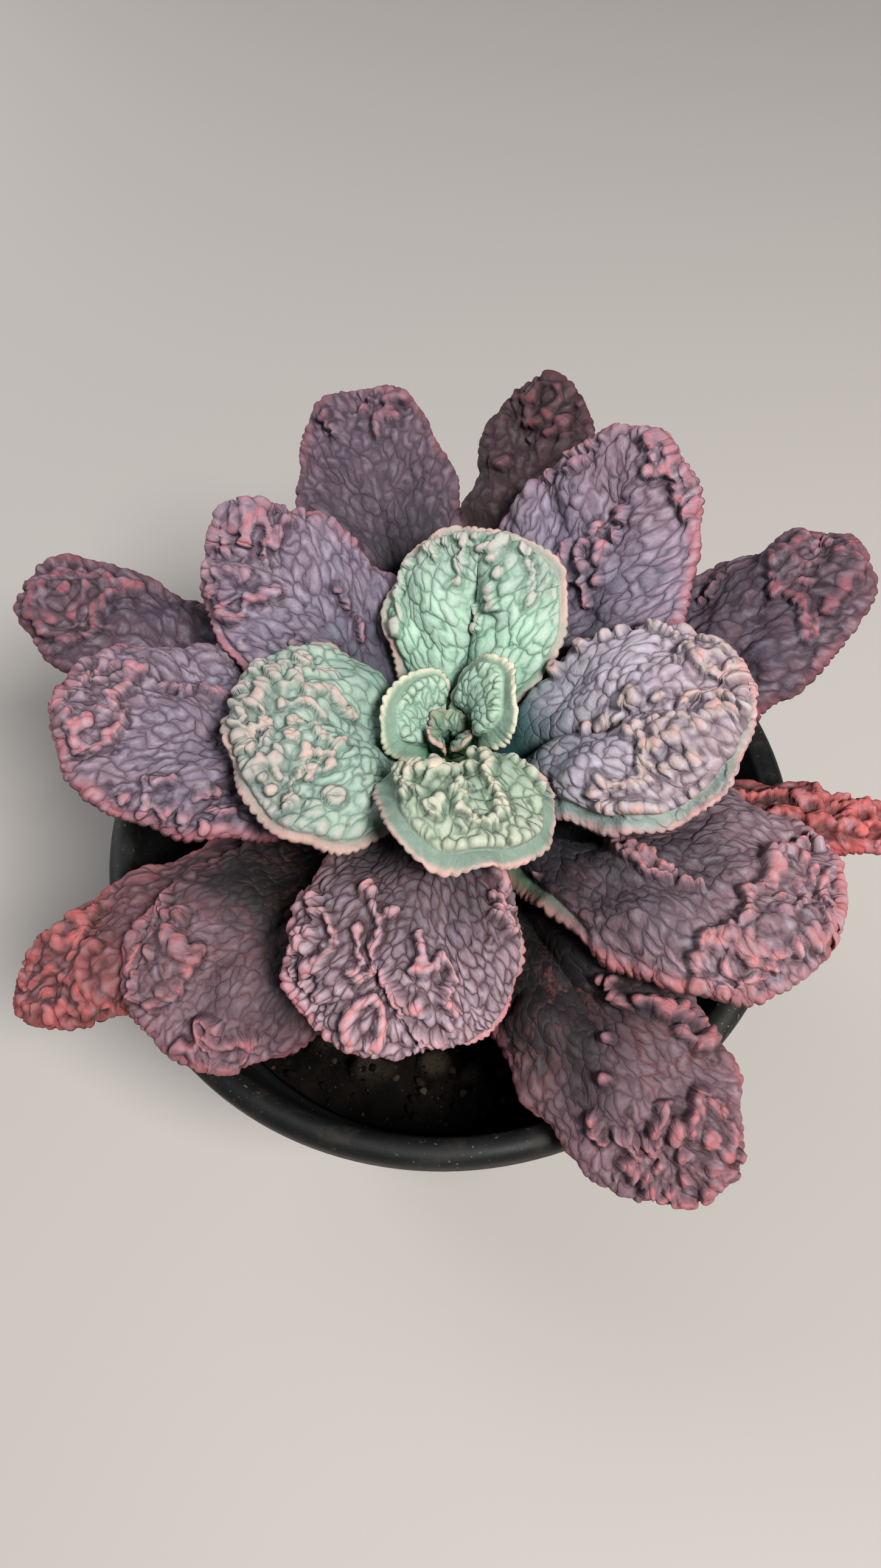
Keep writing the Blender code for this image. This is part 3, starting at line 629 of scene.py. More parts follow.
half_way = flat_place(SAMPLE, np.array([0.5]), np.array([1.0]))[0]
print("half way up", SAMPLE.name, "the margin is", round(float(half_way[1])), "mm out")

# %% Beads along a path
BEAD_STRAY = 0.22                # how far a bead stands out of line, in widths
BEAD_SIZES = (0.90, 1.35)
BEAD_SOFTNESS = 0.22             # in millimetres, how softly two beads run together


def rounded_path(marks):
    """The path with its corners cut off twice, which turns it into a curve."""
    for _ in range(2):
        near = 0.75 * marks[:-1] + 0.25 * marks[1:]
        far = 0.25 * marks[:-1] + 0.75 * marks[1:]
        between = np.stack([near, far], axis=1).reshape(-1, 2)
        marks = np.concatenate([marks[:1], between, marks[-1:]])
    return marks


def bead_string(marks, width, draw):
    """Round lobes along a path: their middles and radii, a little out of line and out of size."""
    lengths = np.linalg.norm(np.diff(marks, axis=0), axis=1)
    run = np.concatenate([[0.0], np.cumsum(lengths)])
    count = max(int(round(run[-1] / width)), 1)
    stops = np.linspace(0.0, run[-1], count + 1)
    middles = np.stack([np.interp(stops, run, marks[:, axis]) for axis in (0, 1)], axis=1)
    middles = middles + draw.uniform(-BEAD_STRAY, BEAD_STRAY, middles.shape) * width
    return middles, width / 2 * draw.uniform(*BEAD_SIZES, len(middles))


def depth_in_beads(flat, middles, radii):
    """Millimetres inside the nearest bead, with beads that touch run softly together."""
    total = np.zeros(len(flat))
    for middle, radius in zip(middles, radii):
        inside = radius - np.linalg.norm(flat - middle, axis=1)
        total += np.exp(np.clip(inside, -4.0, 4.0) / BEAD_SOFTNESS)
    return BEAD_SOFTNESS * np.log(np.maximum(total, TINY))


print("beads are at most", max(BEAD_SIZES), "times as wide as their ridge")

# %% Depth inside the warts
PLATE_LIP = 3.0                  # width in millimetres of the lobed lip round a plate
RING_MIDDLE = 0.9                # how far a ring's middle is raised, as a plate's is
FAR_OUT = -3.0                   # depth in millimetres from which on a wart isn't felt


def warts_on(leaf, flat, seed):
    """Depth inside the warts in millimetres, and how far each place is on a raised plate."""
    depth = np.full(len(flat), FAR_OUT)
    raised = np.zeros(len(flat))
    wavy = shaken(flat, seed)
    draw = np.random.default_rng(int(100 * seed))
    for kind, width, radius, points in WARTS.get(leaf.name, []):
        points = np.array(points)
        marks = flat_place(leaf, points[:, 0], points[:, 1])
        if kind == "ring":
            far = np.linalg.norm(0.6 * flat + 0.4 * wavy - marks[0], axis=1)
            middle = radius - 0.4 * width
            here = width / 2 - np.abs(far - middle)
            raised = np.maximum(raised, RING_MIDDLE * soft_step(middle - far + 0.5))
        elif kind == "worm":
            marks = rounded_path(marks)
            calm = 0.7 * flat + 0.3 * wavy
            ways = [to_segment(calm, a, b) for a, b in zip(marks[:-1], marks[1:])]
            here = width / 2 - np.min(ways, axis=0)
        elif kind == "ridge":
            here = depth_in_beads(wavy, *bead_string(rounded_path(marks), width, draw))
        else:
            closed = np.concatenate([marks, marks[:1]])
            here = depth_in_beads(wavy, *bead_string(closed, PLATE_LIP, draw))
            ways = [to_segment(wavy, a, b) for a, b in zip(closed[:-1], closed[1:])]
            sign = np.where(inside_ring_of(wavy, marks), 1.0, -1.0)
            raised = np.maximum(raised, soft_step(0.5 + sign * np.min(ways, axis=0)))
        depth = np.maximum(depth, here)
    return np.clip(depth, FAR_OUT, -FAR_OUT), raised


print("beyond", -FAR_OUT, "mm a wart isn't felt")

# %% Frills of the tips
MAZE_WAVES = 14


def maze(flat, seed, length_mm):
    """Worms about half a wave wide: a sum of waves of one length that run every way."""
    draw = np.random.default_rng(int(1000 * seed))
    total = np.zeros(len(flat))
    for turn in np.linspace(0.0, np.pi, MAZE_WAVES, endpoint=False):
        turn += draw.uniform(-0.1, 0.1)
        pace = 2 * np.pi / length_mm * draw.uniform(0.88, 1.12)
        ahead = flat[:, 0] * np.cos(turn) + flat[:, 1] * np.sin(turn)
        total += np.cos(pace * ahead + draw.uniform(0.0, 2 * np.pi))
    return total / math.sqrt(MAZE_WAVES / 2)


def patch_cover(leaf, flat):
    cover = np.zeros(len(flat))
    for along, across, long_mm, wide_mm in PATCHES.get(leaf.name, []):
        middle = flat_place(leaf, np.array([along]), np.array([across]))[0]
        far = np.hypot((flat[:, 0] - middle[0]) / long_mm, (flat[:, 1] - middle[1]) / wide_mm)
        cover = np.maximum(cover, soft_step(1.5 - far))
    return cover


print("the frills are a sum of", MAZE_WAVES, "waves")

# %% The margin laid flat
OUTLINE_POINTS = 2400


def outline(leaf):
    """The leaf's flat outline from foot to foot round the tip: places, outward ways, run in mm."""
    turn = np.linspace(0.0, 1.0, OUTLINE_POINTS // 2)
    along = 1 - (1 - turn) ** 2.2
    right = flat_place(leaf, along, -np.ones_like(along))
    left = flat_place(leaf, along[::-1], np.ones_like(along))
    edge = np.concatenate([right, left[1:]])
    way = np.gradient(edge, axis=0)
    way /= np.maximum(np.linalg.norm(way, axis=1, keepdims=True), TINY)
    outward = np.stack([way[:, 1], -way[:, 0]], axis=1)
    run = np.concatenate([[0.0], np.cumsum(np.linalg.norm(np.diff(edge, axis=0), axis=1))])
    return edge, outward, run


def near_margin(leaf, flat):
    """Distance to the margin, the way out across it, and how far round the margin that is."""
    edge, outward, run = outline(leaf)
    tree = KDTree(len(edge))
    for index, (u, v) in enumerate(edge):
        tree.insert((u, v, 0.0), index)
    tree.balance()
    found = [tree.find((u, v, 0.0))[1:] for u, v in flat]
    index = np.array([each[0] for each in found])
    return np.array([each[1] for each in found]), outward[index], run[index]


edge_run = outline(SAMPLE)[2][-1]
print("the margin of", SAMPLE.name, "is", round(float(edge_run)), "mm long")

# %% [markdown]
# ## The leaf's mesh
#
# A leaf is a closed shell: a fine grid of rows and columns above, a coarser one below, and a
# shared margin. The rows stand closer together where the outline turns round the tip, because
# equal steps along the outline keep its curve smooth. Young leaves have a swollen crown that stops
# short of the margin and leaves a thin smooth flange, and every margin is scalloped. The numbers
# that the skin needs later are kept on the mesh as named attributes.

# %% The leaf's margins
# Width in millimetres of the thin flange at each side, across -1 and across +1
FLANGES = {
    "bud_back": (1.2, 1.2), "bud_left": (1.0, 1.0), "bud_right": (1.0, 1.0),
    "heart_right": (4.2, 2.0), "heart_left": (2.0, 4.2), "young_front": (4.4, 4.6),
    "young_back": (2.2, 2.8), "young_left": (2.0, 2.2), "young_right": (4.2, 0.4),
    "middle_back_left": (0.3, 2.2), "middle_front": (0.3, 2.0), "middle_right": (3.4, 0.3),
}
FLANGE_ENDS = {"middle_right": 0.45}     # share of the length at which a flange starts to fade
PLAIN_FLANGE = (0.3, 0.3)
TOOTH_MM = 2.6                   # from one tooth of the scalloped margin to the next


def flange_width(leaf, along, across):
    low, high = FLANGES.get(leaf.name, PLAIN_FLANGE)
    aside = 2 * half_width(leaf, along) * across / leaf.width
    width = (low + (high - low) * soft_step(aside * 0.9 + 0.5)) * soft_step((along - 0.05) / 0.25)
    return width * (1 - soft_step((along - FLANGE_ENDS.get(leaf.name, 1.0)) / 0.2))


def waves(run, seed):
    """Scallops round the margin: rounded teeth of about one length, none quite like the next."""
    drift = 0.9 * np.sin(run / 5.1 + seed) + 0.6 * np.sin(run / 2.9 + 2.3 * seed)
    teeth = np.abs(np.sin(np.pi * (run + drift) / TOOTH_MM)) ** 0.7
    sizes = 0.75 + 0.35 * np.sin(run / 4.3 + 1.7 * seed) + 0.25 * np.sin(run / 1.9 + seed)
    return (teeth - 0.55) * sizes


def ruffle(run, seed):
    return np.sin(run / 1.9 + 1.5 * np.sin(run / 6.0 + seed)) + 0.7 * np.sin(run / 0.9 + 3 * seed)


def sway(run, seed):
    return np.sin(run / 4.6 + 2.1 * seed) + 0.8 * np.sin(run / 2.7 + 5.0 * seed)


def swells(flat, seed):
    """Slow hills over the whole blade, 15 to 24 mm long."""
    u, v = flat[:, 0], flat[:, 1]
    return (np.sin(0.21 * u + 0.16 * v + 5 * seed) + np.sin(0.33 * v - 0.12 * u + 3 * seed)
            + 0.8 * np.sin(0.31 * u - 0.27 * v + 7 * seed))


print("the widest flange is", max(max(pair) for pair in FLANGES.values()), "mm")

# %% The midrib's fold and the rows
# Share of the length at which each midrib's fold has faded out
RIB_ENDS = {"young_back": 0.90, "young_right": 0.58, "young_left": 0.55, "young_front": 0.50,
            "middle_front": 0.42, "outer_back": 0.62, "outer_front_left": 0.60,
            "middle_back_right": 0.55, "middle_back_left": 0.55, "middle_right": 0.50}
RIB_END = 0.50
RIB_MM = 1.3                     # how far from the midrib its fold has faded to a third
ROW_SAMPLES = 4000


def rib_fold(leaf, along, across):
    """1 in the bottom of the midrib's fold, fading over its banks and towards its end."""
    aside = 1000 * half_width(leaf, along) * across
    end = RIB_ENDS.get(leaf.name, RIB_END)
    fade = soft_step(along / 0.15) * (1 - soft_step((along - end + 0.2) / 0.25))
    return fade * np.exp(-np.abs(aside) / RIB_MM)


def row_shares(leaf, spacing_mm):
    """Shares along the leaf: wide steps near the foot, then equal steps along the outline."""
    along = 1 - (1 - np.linspace(0.0, 1.0, ROW_SAMPLES)) ** 1.6
    flat = flat_place(leaf, along, np.ones_like(along))
    lengths = np.linalg.norm(np.diff(flat, axis=0), axis=1)
    middle = (along[1:] + along[:-1]) / 2
    pace = spacing_mm * (1 + 1.2 * (1 - soft_step((middle - 0.12) / 0.25)))
    steps = np.concatenate([[0.0], np.cumsum(lengths / pace)])
    count = int(round(steps[-1]))
    shares = np.interp(np.linspace(0.0, steps[-1], count + 1), steps, along)
    return shares[:-1]


print(SAMPLE.name, "has", len(row_shares(SAMPLE, 0.46)), "rows")

# %% The leaf's upper and lower face
MIDRIB_DEPTH = 0.0030
EDGE_ROUNDING_MM = 0.9
NARROWEST = 1e-4                 # least half width, which keeps a division finite


def lifts(leaf, along, across, margin, flange):
    """Heights of the upper and the lower face over the middle surface, and the crown's cover."""
    swelling = (CROWN_THICKNESS - EDGE_THICKNESS) / 2 * leaf.crown
    swelling = swelling * (0.55 + 0.45 * soft_step(along / 0.25)) * (1 - 0.5 * along ** 6)
    half = 1000 * np.maximum(half_width(leaf, along), NARROWEST)
    from_middle = np.clip(np.abs(across) / np.maximum(1 - flange / half, 0.35), 0.0, 1.0)
    crown = soft_step((margin - flange) / 1.5)
    rounded = np.sqrt(1 - (1 - np.clip(margin / EDGE_ROUNDING_MM, 0.0, 1.0)) ** 2)
    edge = EDGE_THICKNESS / 2 * (0.6 + 0.4 * leaf.crown) * rounded
    fold = rib_fold(leaf, along, across)
    rib = MIDRIB_DEPTH * leaf.crown * (0.6 * fold ** 0.4 + 0.4 * fold)
    above = edge + crown * swelling * (0.4 + 0.6 * (1 - from_middle ** 3)) - rib
    below = edge + soft_step(margin / 3.0) * swelling * (1 - np.abs(across) ** 3) + 0.5 * rib
    cover = np.where(flange > 1.4, crown, 0.5 + 0.5 * soft_step(margin / 1.2))
    return above, below, cover


print("a crown swells by", round(1000 * (CROWN_THICKNESS - EDGE_THICKNESS) / 2, 1), "mm each way")

# %% The leaf's closed shell
SCALLOP_HEIGHT = {"bud": 0.0010, "heart": 0.0009, "young": 0.0008}
OLD_SCALLOP = 0.0010
RUFFLE_HEIGHT = 0.0004
OUTLINE_SWAY = 0.00045           # slow bays and capes of the outline
SWELL_HEIGHT = 0.0009            # slow hills of the whole blade
FRILL_MM = 5.2                   # from one worm of the frilled tips to the next
FOOT_REACH = 0.0032              # how far a foot runs into the stem
TIP = 0.99999                    # just short of 1, where the outline turns
FEWEST_COLUMNS = 16
UNDER_SHARE = 4                  # columns above for each one below


def leaf_shell(leaf, seed, spacing_mm, slant):
    """Corners, faces and attributes of one leaf's closed shell.

    The slant lets the skin's cells run outwards from the midrib, as veins do.
    """
    rows = row_shares(leaf, spacing_mm)
    columns = max(int(1000 * leaf.width / spacing_mm), FEWEST_COLUMNS)
    under = max(columns // UNDER_SHARE, FEWEST_COLUMNS // 2)
    above_t = np.linspace(-1.0, 1.0, columns + 1)
    below_t = np.linspace(-1.0, 1.0, under + 1)[1:-1]
    across = np.tile(np.concatenate([above_t, below_t]), len(rows))
    along = np.repeat(rows, columns + 1 + len(below_t))
    upper = np.tile(np.concatenate([np.ones(columns + 1), np.zeros(len(below_t))]), len(rows))
    along = np.append(along, TIP)
    across = np.append(across, 0.0)
    upper = np.append(upper, 1.0)

    flat = flat_place(leaf, along, across)
    margin, outward, run = near_margin(leaf, flat)
    margin[np.abs(across) == 1.0] = 0.0
    margin[-1] = 0.0
    flange = flange_width(leaf, along, across)
    above, below, crown = lifts(leaf, along, across, margin, flange)
    place, forward, side, up = bent_blade(leaf, along, across)
    fade = soft_step((along - 0.12) / 0.2)
    tooth = SCALLOP_HEIGHT.get(leaf.name.split("_")[0], OLD_SCALLOP)
    push = tooth * waves(run, seed) * np.exp(-margin / 1.5)
    push = push + OUTLINE_SWAY * sway(run, seed) * np.exp(-margin / 6.0)
    push = (push * fade)[:, None]
    place = place + push * (outward[:, :1] * forward + outward[:, 1:] * side)
    lift = np.where(upper > 0.5, above, -below)
    lift = lift + RUFFLE_HEIGHT * leaf.crown * ruffle(run, seed) * np.exp(-margin / 2.5) * fade
    lift = lift + SWELL_HEIGHT * leaf.crown * swells(flat, seed) * fade
    half_swell = np.sin(np.pi * np.clip(np.abs(across), 0.0, 1.0)) ** 0.8
    reach = soft_step((along - 0.05) / 0.25) * (1 - soft_step((along - 0.62) / 0.3))
    lift = lift + HALVES.get(leaf.name, PLAIN_HALF) * half_swell * reach
    place = place + lift[:, None] * up
    foot = along == 0.0
    place[foot] -= FOOT_REACH * forward[foot] * (leaf.seat < STEM_TOP)

    faces = shell_faces(len(rows), columns, len(below_t), len(along) - 1)
    depth, raised = warts_on(leaf, flat, seed)
    frills = 0.95 * maze(flat, seed, FRILL_MM) - 0.35 - 3.0 * (1 - patch_cover(leaf, flat))
    skin = flat - slant * np.stack([np.hypot(flat[:, 1], 2.0), np.zeros(len(flat))], axis=1)
    skin = skin + (131.0 * seed, 57.0 * seed)
    attributes = {
        "skin": np.concatenate([skin, np.full((len(flat), 1), seed)], axis=1),
        "along": along, "margin": margin, "crown": crown, "upper": upper,
        "wart": np.maximum(depth, np.maximum(frills, FAR_OUT)), "raised": raised,
        "rib": rib_fold(leaf, along, across),
    }
    return place, faces, attributes


def shell_faces(rows, columns, under, tip):
    """Faces of the upper and the lower grid, of the foot, and of the fan at the tip."""
    wide = columns + 1 + under
    start = wide * np.arange(rows)[:, None]
    top = start + np.arange(columns + 1)[None, :]
    low = np.concatenate([start, start + columns + 1 + np.arange(under)[None, :],
                          start + columns], axis=1)
    faces = []
    for grid, flip in ((top, False), (low, True)):
        near_left, near_right = grid[:-1, :-1], grid[:-1, 1:]
        far_left, far_right = grid[1:, :-1], grid[1:, 1:]
        quads = np.stack([near_left, far_left, far_right, near_right], axis=-1).reshape(-1, 4)
        faces += (quads[:, ::-1] if flip else quads).tolist()
        last = grid[-1]
        fan = [(int(a), tip, int(b)) for a, b in zip(last[:-1], last[1:])]
        faces += [face[::-1] for face in fan] if flip else fan
    faces.append([int(i) for i in top[0]] + [int(i) for i in low[0][-2:0:-1]])
    return faces


print("a leaf's shell has", UNDER_SHARE, "columns above for each one below")

# %% From arrays to an object
def make_object(name, corners, faces, attributes=None):
    mesh = bpy.data.meshes.new(name)
    mesh.from_pydata(np.asarray(corners).tolist(), [], faces)
    for key, values in (attributes or {}).items():
        flat_values = np.asarray(values, dtype=np.float32)
        if flat_values.ndim == 2:
            layer = mesh.attributes.new(key, "FLOAT_VECTOR", "POINT")
            layer.data.foreach_set("vector", flat_values.ravel())
        else:
            layer = mesh.attributes.new(key, "FLOAT", "POINT")
            layer.data.foreach_set("value", flat_values)
    mesh.shade_smooth()
    mesh.update()
    body = bpy.data.objects.new(name, mesh)
    bpy.context.scene.collection.objects.link(body)
    return body


print("arrays can become objects")

# %% [markdown]
# ## Puckered skin, by Geometry Nodes
#
# Between the warts the skin is puckered into cells like cobblestones, with narrow creases between
# them. A Voronoi pattern gives exactly that: the distance to the nearest cell's edge is nothing in
# a crease and large in the middle of a cell, and a rounded function of it makes a small pillow.
# The pattern is laid on the flat leaf, drawn out along it, and bent by noise. The node tree raises
# the pillows and the warts along the surface's normal, and stores how deep inside a wart each
# point ended up, so that the material can paint the wart's lip.

# %% Cells of the skin, for either kind of tree
LUMP_CELLS = 2.6                 # size of the lumps under the cells, in cells


def skin_cells(board, skin, size, stretch):
    """Distance to the nearest crease in shares of a cell, each cell's own number, and its dome."""
    place = board.vector("MULTIPLY", skin, (stretch / size, 1.0 / size, 0.0))
    for pace, reach in ((0.42, 1.3), (1.25, 0.75)):
        drift = board.noise(skin, pace / size, 0.6, 0.5, "Color")
        drift = board.scaled(board.vector("SUBTRACT", drift, (0.5, 0.5, 0.5)), reach)
        place = board.vector("ADD", place, drift)
    values = {"Vector": place, "Scale": 1.0, "Randomness": 0.9}
    flat = {"voronoi_dimensions": "2D"}
    edge = board.add("ShaderNodeTexVoronoi", {**flat, "feature": "DISTANCE_TO_EDGE"}, values,
                     "Distance")
    far = board.add("ShaderNodeTexVoronoi", flat, values, "Distance")
    own = board.add("ShaderNodeTexVoronoi", flat, values, "Color")
    own = board.add("ShaderNodeSeparateXYZ", None, {"Vector": own}, "X")
    return edge, own, board.limit(1.0 - far * far * 1.5)


def skin_domes(board, skin, size, stretch):
    """Round lumps without creases, as 1 on top of a lump and about 0 between lumps."""
    laid = board.vector("MULTIPLY", skin, (stretch / size, 1.0 / size, 0.0))
    far = board.add("ShaderNodeTexVoronoi",
                    {"voronoi_dimensions": "2D", "feature": "SMOOTH_F1"},
                    {"Vector": laid, "Scale": 1.0, "Randomness": 0.9, "Smoothness": 0.35},
                    "Distance")
    return board.limit(1.0 - far * far * 1.6)


def pillow(board, edge, reach):
    """0 in a crease, rising steeply and then levelling off like a cushion."""
    away = 1 - board.limit(edge / reach)
    return 1 - away ** 2.3


def crease_of(board, skin, edge, reach):
    """1 in a crease and 0 on a cell, with many creases fainter, so that cells run together."""
    strong = board.step(board.noise(skin, 0.16, 1.0), 0.36, 0.56) * 0.7 + 0.3
    return (1 - pillow(board, edge, reach)) * strong


def wrinkles_of(board, skin, size, stretch):
    """1 along thin wandering lines that break off and start again."""
    laid = board.vector("MULTIPLY", skin, (stretch / size, 1.0 / size, 1.0))
    level = board.math("ABSOLUTE", board.noise(laid, 1.5, 1.5, 0.55) - 0.5)
    broken = board.step(board.noise(laid, 0.7, 1.0), 0.40, 0.58)
    return board.step(level, 0.10, 0.0) * broken


print("cells are measured the same way in meshes and in materials")

# %% The relief tree
def named(board, name, kind="FLOAT"):
    return board.add("GeometryNodeInputNamedAttribute", {"data_type": kind}, {"Name": name},
                     "Attribute")


def keep(board, geometry, name, value, domain="POINT"):
    """Store a number on the mesh, for its material."""
    return board.add("GeometryNodeStoreNamedAttribute", {"data_type": "FLOAT", "domain": domain},
                     {"Geometry": geometry, "Name": name, "Value": value})


def new_tree(name, numbers, material):
    """A Geometry Nodes tree with its geometry, named numbers with defaults, and a material."""
    tree = bpy.data.node_groups.new(name, "GeometryNodeTree")
    face = tree.interface
    face.new_socket("Geometry", in_out="INPUT", socket_type="NodeSocketGeometry")
    for label, default in numbers.items():
        kind = "NodeSocketInt" if isinstance(default, int) else "NodeSocketFloat"
        face.new_socket(label, in_out="INPUT", socket_type=kind).default_value = default
    face.new_socket(material, in_out="INPUT", socket_type="NodeSocketMaterial")
    face.new_socket("Geometry", in_out="OUTPUT", socket_type="NodeSocketGeometry")
    return Board(tree)


def given(board, label):
    """The wire from one of the tree's named inputs."""
    return board.add("NodeGroupInput", None, None, label)


def end_tree(board, geometry, material):
    """Turn instances into mesh, dress it in the tree's material and hand it out."""
    whole = board.add("GeometryNodeRealizeInstances", None, {"Geometry": geometry})
    dressed = board.add("GeometryNodeSetMaterial", None,
                        {"Geometry": whole, "Material": given(board, material)})
    board.add("NodeGroupOutput", None, {"Geometry": dressed})
    return board.tree


def relief_tree(cell_mm, stretch):
    """Geometry Nodes that raise the cells and warts of a leaf's skin."""
    board = new_tree("leaf_relief", {"Cell height": 0.0007, "Wart height": 0.0020}, "Skin")
    cell_height, wart_height = given(board, "Cell height"), given(board, "Wart height")
    skin = named(board, "skin", "FLOAT_VECTOR")
    along, crown = named(board, "along"), named(board, "crown")
    upper, margin = named(board, "upper"), named(board, "margin")
    large, own, dome = skin_cells(board, skin, cell_mm, stretch)
    grown = board.step(along, 0.18, 0.55)
    swollen = board.step(margin, 11.0, 2.0) * 0.5 + 0.75
    lumps = skin_domes(board, skin, cell_mm * LUMP_CELLS, stretch)
    cells = (1 - crease_of(board, skin, large, 0.40)) * 0.5 + dome * (own * 0.6 + 0.4)
    cells = cells * swollen + lumps * 0.5 + board.noise(skin, 0.7, 1.0) * 0.35
    calm = board.step(board.noise(skin, 0.055, 1.0), 0.42, 0.62) * 0.55 + 0.55
    cells = cells * calm * grown * cell_height * (1 - named(board, "rib") ** 0.6 * 0.85)

    # The cells notch a wart's outline a little and go on over its top
    depth = named(board, "wart") + (large - 0.2) * 0.7
    lobe = board.limit(depth / 1.5)
    raised = named(board, "raised")
    warts = board.step(depth, -0.40, 0.45) * 0.55 + lobe * (2 - lobe) * 0.45
    warts = board.math("MAXIMUM", warts, raised * 0.45)
    warts = warts * wart_height * (board.step(margin, 0.0, 3.6) * 0.75 + 0.25)
    cells = cells * (1 - board.step(depth, -0.2, 1.0) * 0.6)

    height = (cells + warts) * crown * upper
    height = height + cells * (1 - upper) * 0.5 * board.step(margin, 0.5, 3.0)
    normal = board.add("GeometryNodeInputNormal")
    offset = board.scaled(normal, height)
    moved = board.add("GeometryNodeSetPosition", None,
                      {"Geometry": given(board, "Geometry"), "Offset": offset})
    return end_tree(board, keep(board, moved, "wart", depth), "Skin")


print("the relief tree has inputs for its heights and its material")

# %% From a tree to a plain mesh
def apply_tree(body, tree, values):
    """Run a node tree on an object and keep the result as its plain mesh."""
    modifier = body.modifiers.new("nodes", "NODES")
    modifier.node_group = tree
    for item in tree.interface.items_tree:
        if item.in_out == "INPUT" and item.name in values:
            modifier[item.identifier] = values[item.name]
    ready = body.evaluated_get(bpy.context.evaluated_depsgraph_get())
    mesh = bpy.data.meshes.new_from_object(ready, preserve_all_data_layers=True,
                                           depsgraph=bpy.context.evaluated_depsgraph_get())
    body.modifiers.remove(modifier)
    old = body.data
    body.data = mesh
    bpy.data.meshes.remove(old)
    mesh.name = body.name
    mesh.shade_smooth()
    return body


print("a tree's result can be kept as a plain mesh")

# %% [markdown]
# ## The colour of the skin
#
# The leaf is matte, because a fine wax powder covers it; on lit cell tops the pale powder is also a
# painted highlight. Under the powder the colour runs from blue green at the foot, darkened by
# painted shade where other leaves cover it, to mint in young leaves and mauve in old ones. Creases
# are darker, partly their own colour and partly painted shade, the lips of the warts are cream on
# young leaves and coral on old ones, and the margin is pink.
# The same few functions paint every leaf, each from its palette. Everything that changes over the
# leaf goes into the base colour, the roughness and the bump, and what doesn't is set on the shader.

# %% How a palette is written
def paint(red, green, blue):
    """A screen colour of 0 to 255, as the linear colour that a shader wants."""
    def linear(value):
        share = value / 255
        return share / 12.92 if share <= 0.04045 else ((share + 0.055) / 1.055) ** 2.4
    return (linear(red), linear(green), linear(blue), 1.0)


@dataclass
class Palette:
    """Colours of one leaf, from its foot to the lips of its warts, and the size of its relief."""
    # The foot and crease colours hold painted shade as well as the leaf's own darker colour
    foot: tuple
    blade: tuple
    tip: tuple
    crease: tuple
    blush: tuple
    lip: tuple
    plate: tuple
    flange: tuple
    edge: tuple
    under: tuple
    blushing: float = 0.6
    flecks: float = 0.0
    cell_mm: float = 4.6
    stretch: float = 0.75
    slant: float = 0.5
    # Share of the length round which the foot's painted shade gives way to the blade's colour
    shaded: float = 0.50
    cell_height: float = 0.0012
    wart_height: float = 0.0034
    rim_mm: float = 2.9
    creased: float = 0.65
    # How strongly the pale powder, and with it the painted highlight on cell tops, shows
    dusted: float = 0.30
    wrinkled: float = 0.35
    bumped: float = 0.70


def palette(*colours, **settings):
    """A palette from ten screen colours, in the order above, and what else differs."""
    return Palette(*[paint(*colour) for colour in colours], **settings)


print("paint(128, 128, 128) is", round(paint(128, 128, 128)[0], 3), "as light")

# %% Palettes of the buds and young leaves
BUD = palette(
    (40, 66, 50), (98, 130, 110), (126, 142, 120), (50, 74, 58), (132, 144, 122),
    (170, 156, 138), (110, 140, 114), (100, 128, 104), (186, 146, 136), (70, 106, 80),
    cell_mm=2.4, stretch=0.9, cell_height=0.0003, wart_height=0.0006, rim_mm=1.1)
HEART = palette(
    (70, 108, 88), (150, 178, 164), (158, 184, 166), (80, 116, 88), (184, 196, 170),
    (196, 200, 176), (164, 188, 168), (114, 140, 122), (206, 200, 176), (88, 130, 104),
    cell_mm=2.5, stretch=0.9, slant=0.3, cell_height=0.0007, wart_height=0.0012, rim_mm=1.9,
    creased=0.8, dusted=0.1, wrinkled=0.0)
YOUNG_FRONT = palette(
    (78, 112, 88), (152, 172, 150), (168, 176, 158), (66, 86, 68), (194, 192, 168),
    (214, 196, 174), (170, 172, 160), (106, 128, 116), (204, 164, 156), (94, 128, 106),
    cell_mm=3.0, stretch=0.85, slant=0.3, cell_height=0.0013, wart_height=0.0030, rim_mm=2.2,
    creased=0.8, dusted=0.1, wrinkled=0.0)
YOUNG_BACK = palette(
    (70, 112, 100), (170, 202, 180), (160, 172, 162), (92, 126, 108), (178, 174, 162),
    (196, 172, 164), (168, 178, 172), (130, 146, 132), (194, 162, 154), (96, 134, 116),
    cell_mm=3.4, stretch=0.80, slant=0.6, wart_height=0.0024, creased=0.8, dusted=0.1,
    wrinkled=0.0)
YOUNG_LEFT = palette(
    (76, 118, 104), (158, 182, 166), (160, 160, 156), (86, 108, 100), (174, 156, 150),
    (190, 162, 152), (166, 168, 160), (122, 124, 116), (184, 148, 140), (92, 130, 114),
    blushing=0.7, cell_mm=3.5, stretch=0.9, slant=0.4, cell_height=0.0013, wart_height=0.0028,
    creased=0.8, dusted=0.1, wrinkled=0.0)
YOUNG_RIGHT = palette(
    (50, 92, 92), (168, 160, 174), (164, 140, 150), (84, 70, 78), (176, 164, 154),
    (198, 148, 142), (162, 144, 150), (122, 140, 132), (196, 146, 144), (86, 116, 110),
    blushing=0.5, cell_mm=3.4, stretch=0.95, slant=0.3, cell_height=0.0014, dusted=0.35,
    wrinkled=0.0)
print("the foot of the leaf at the right is", [round(c, 2) for c in YOUNG_RIGHT.foot[:3]])

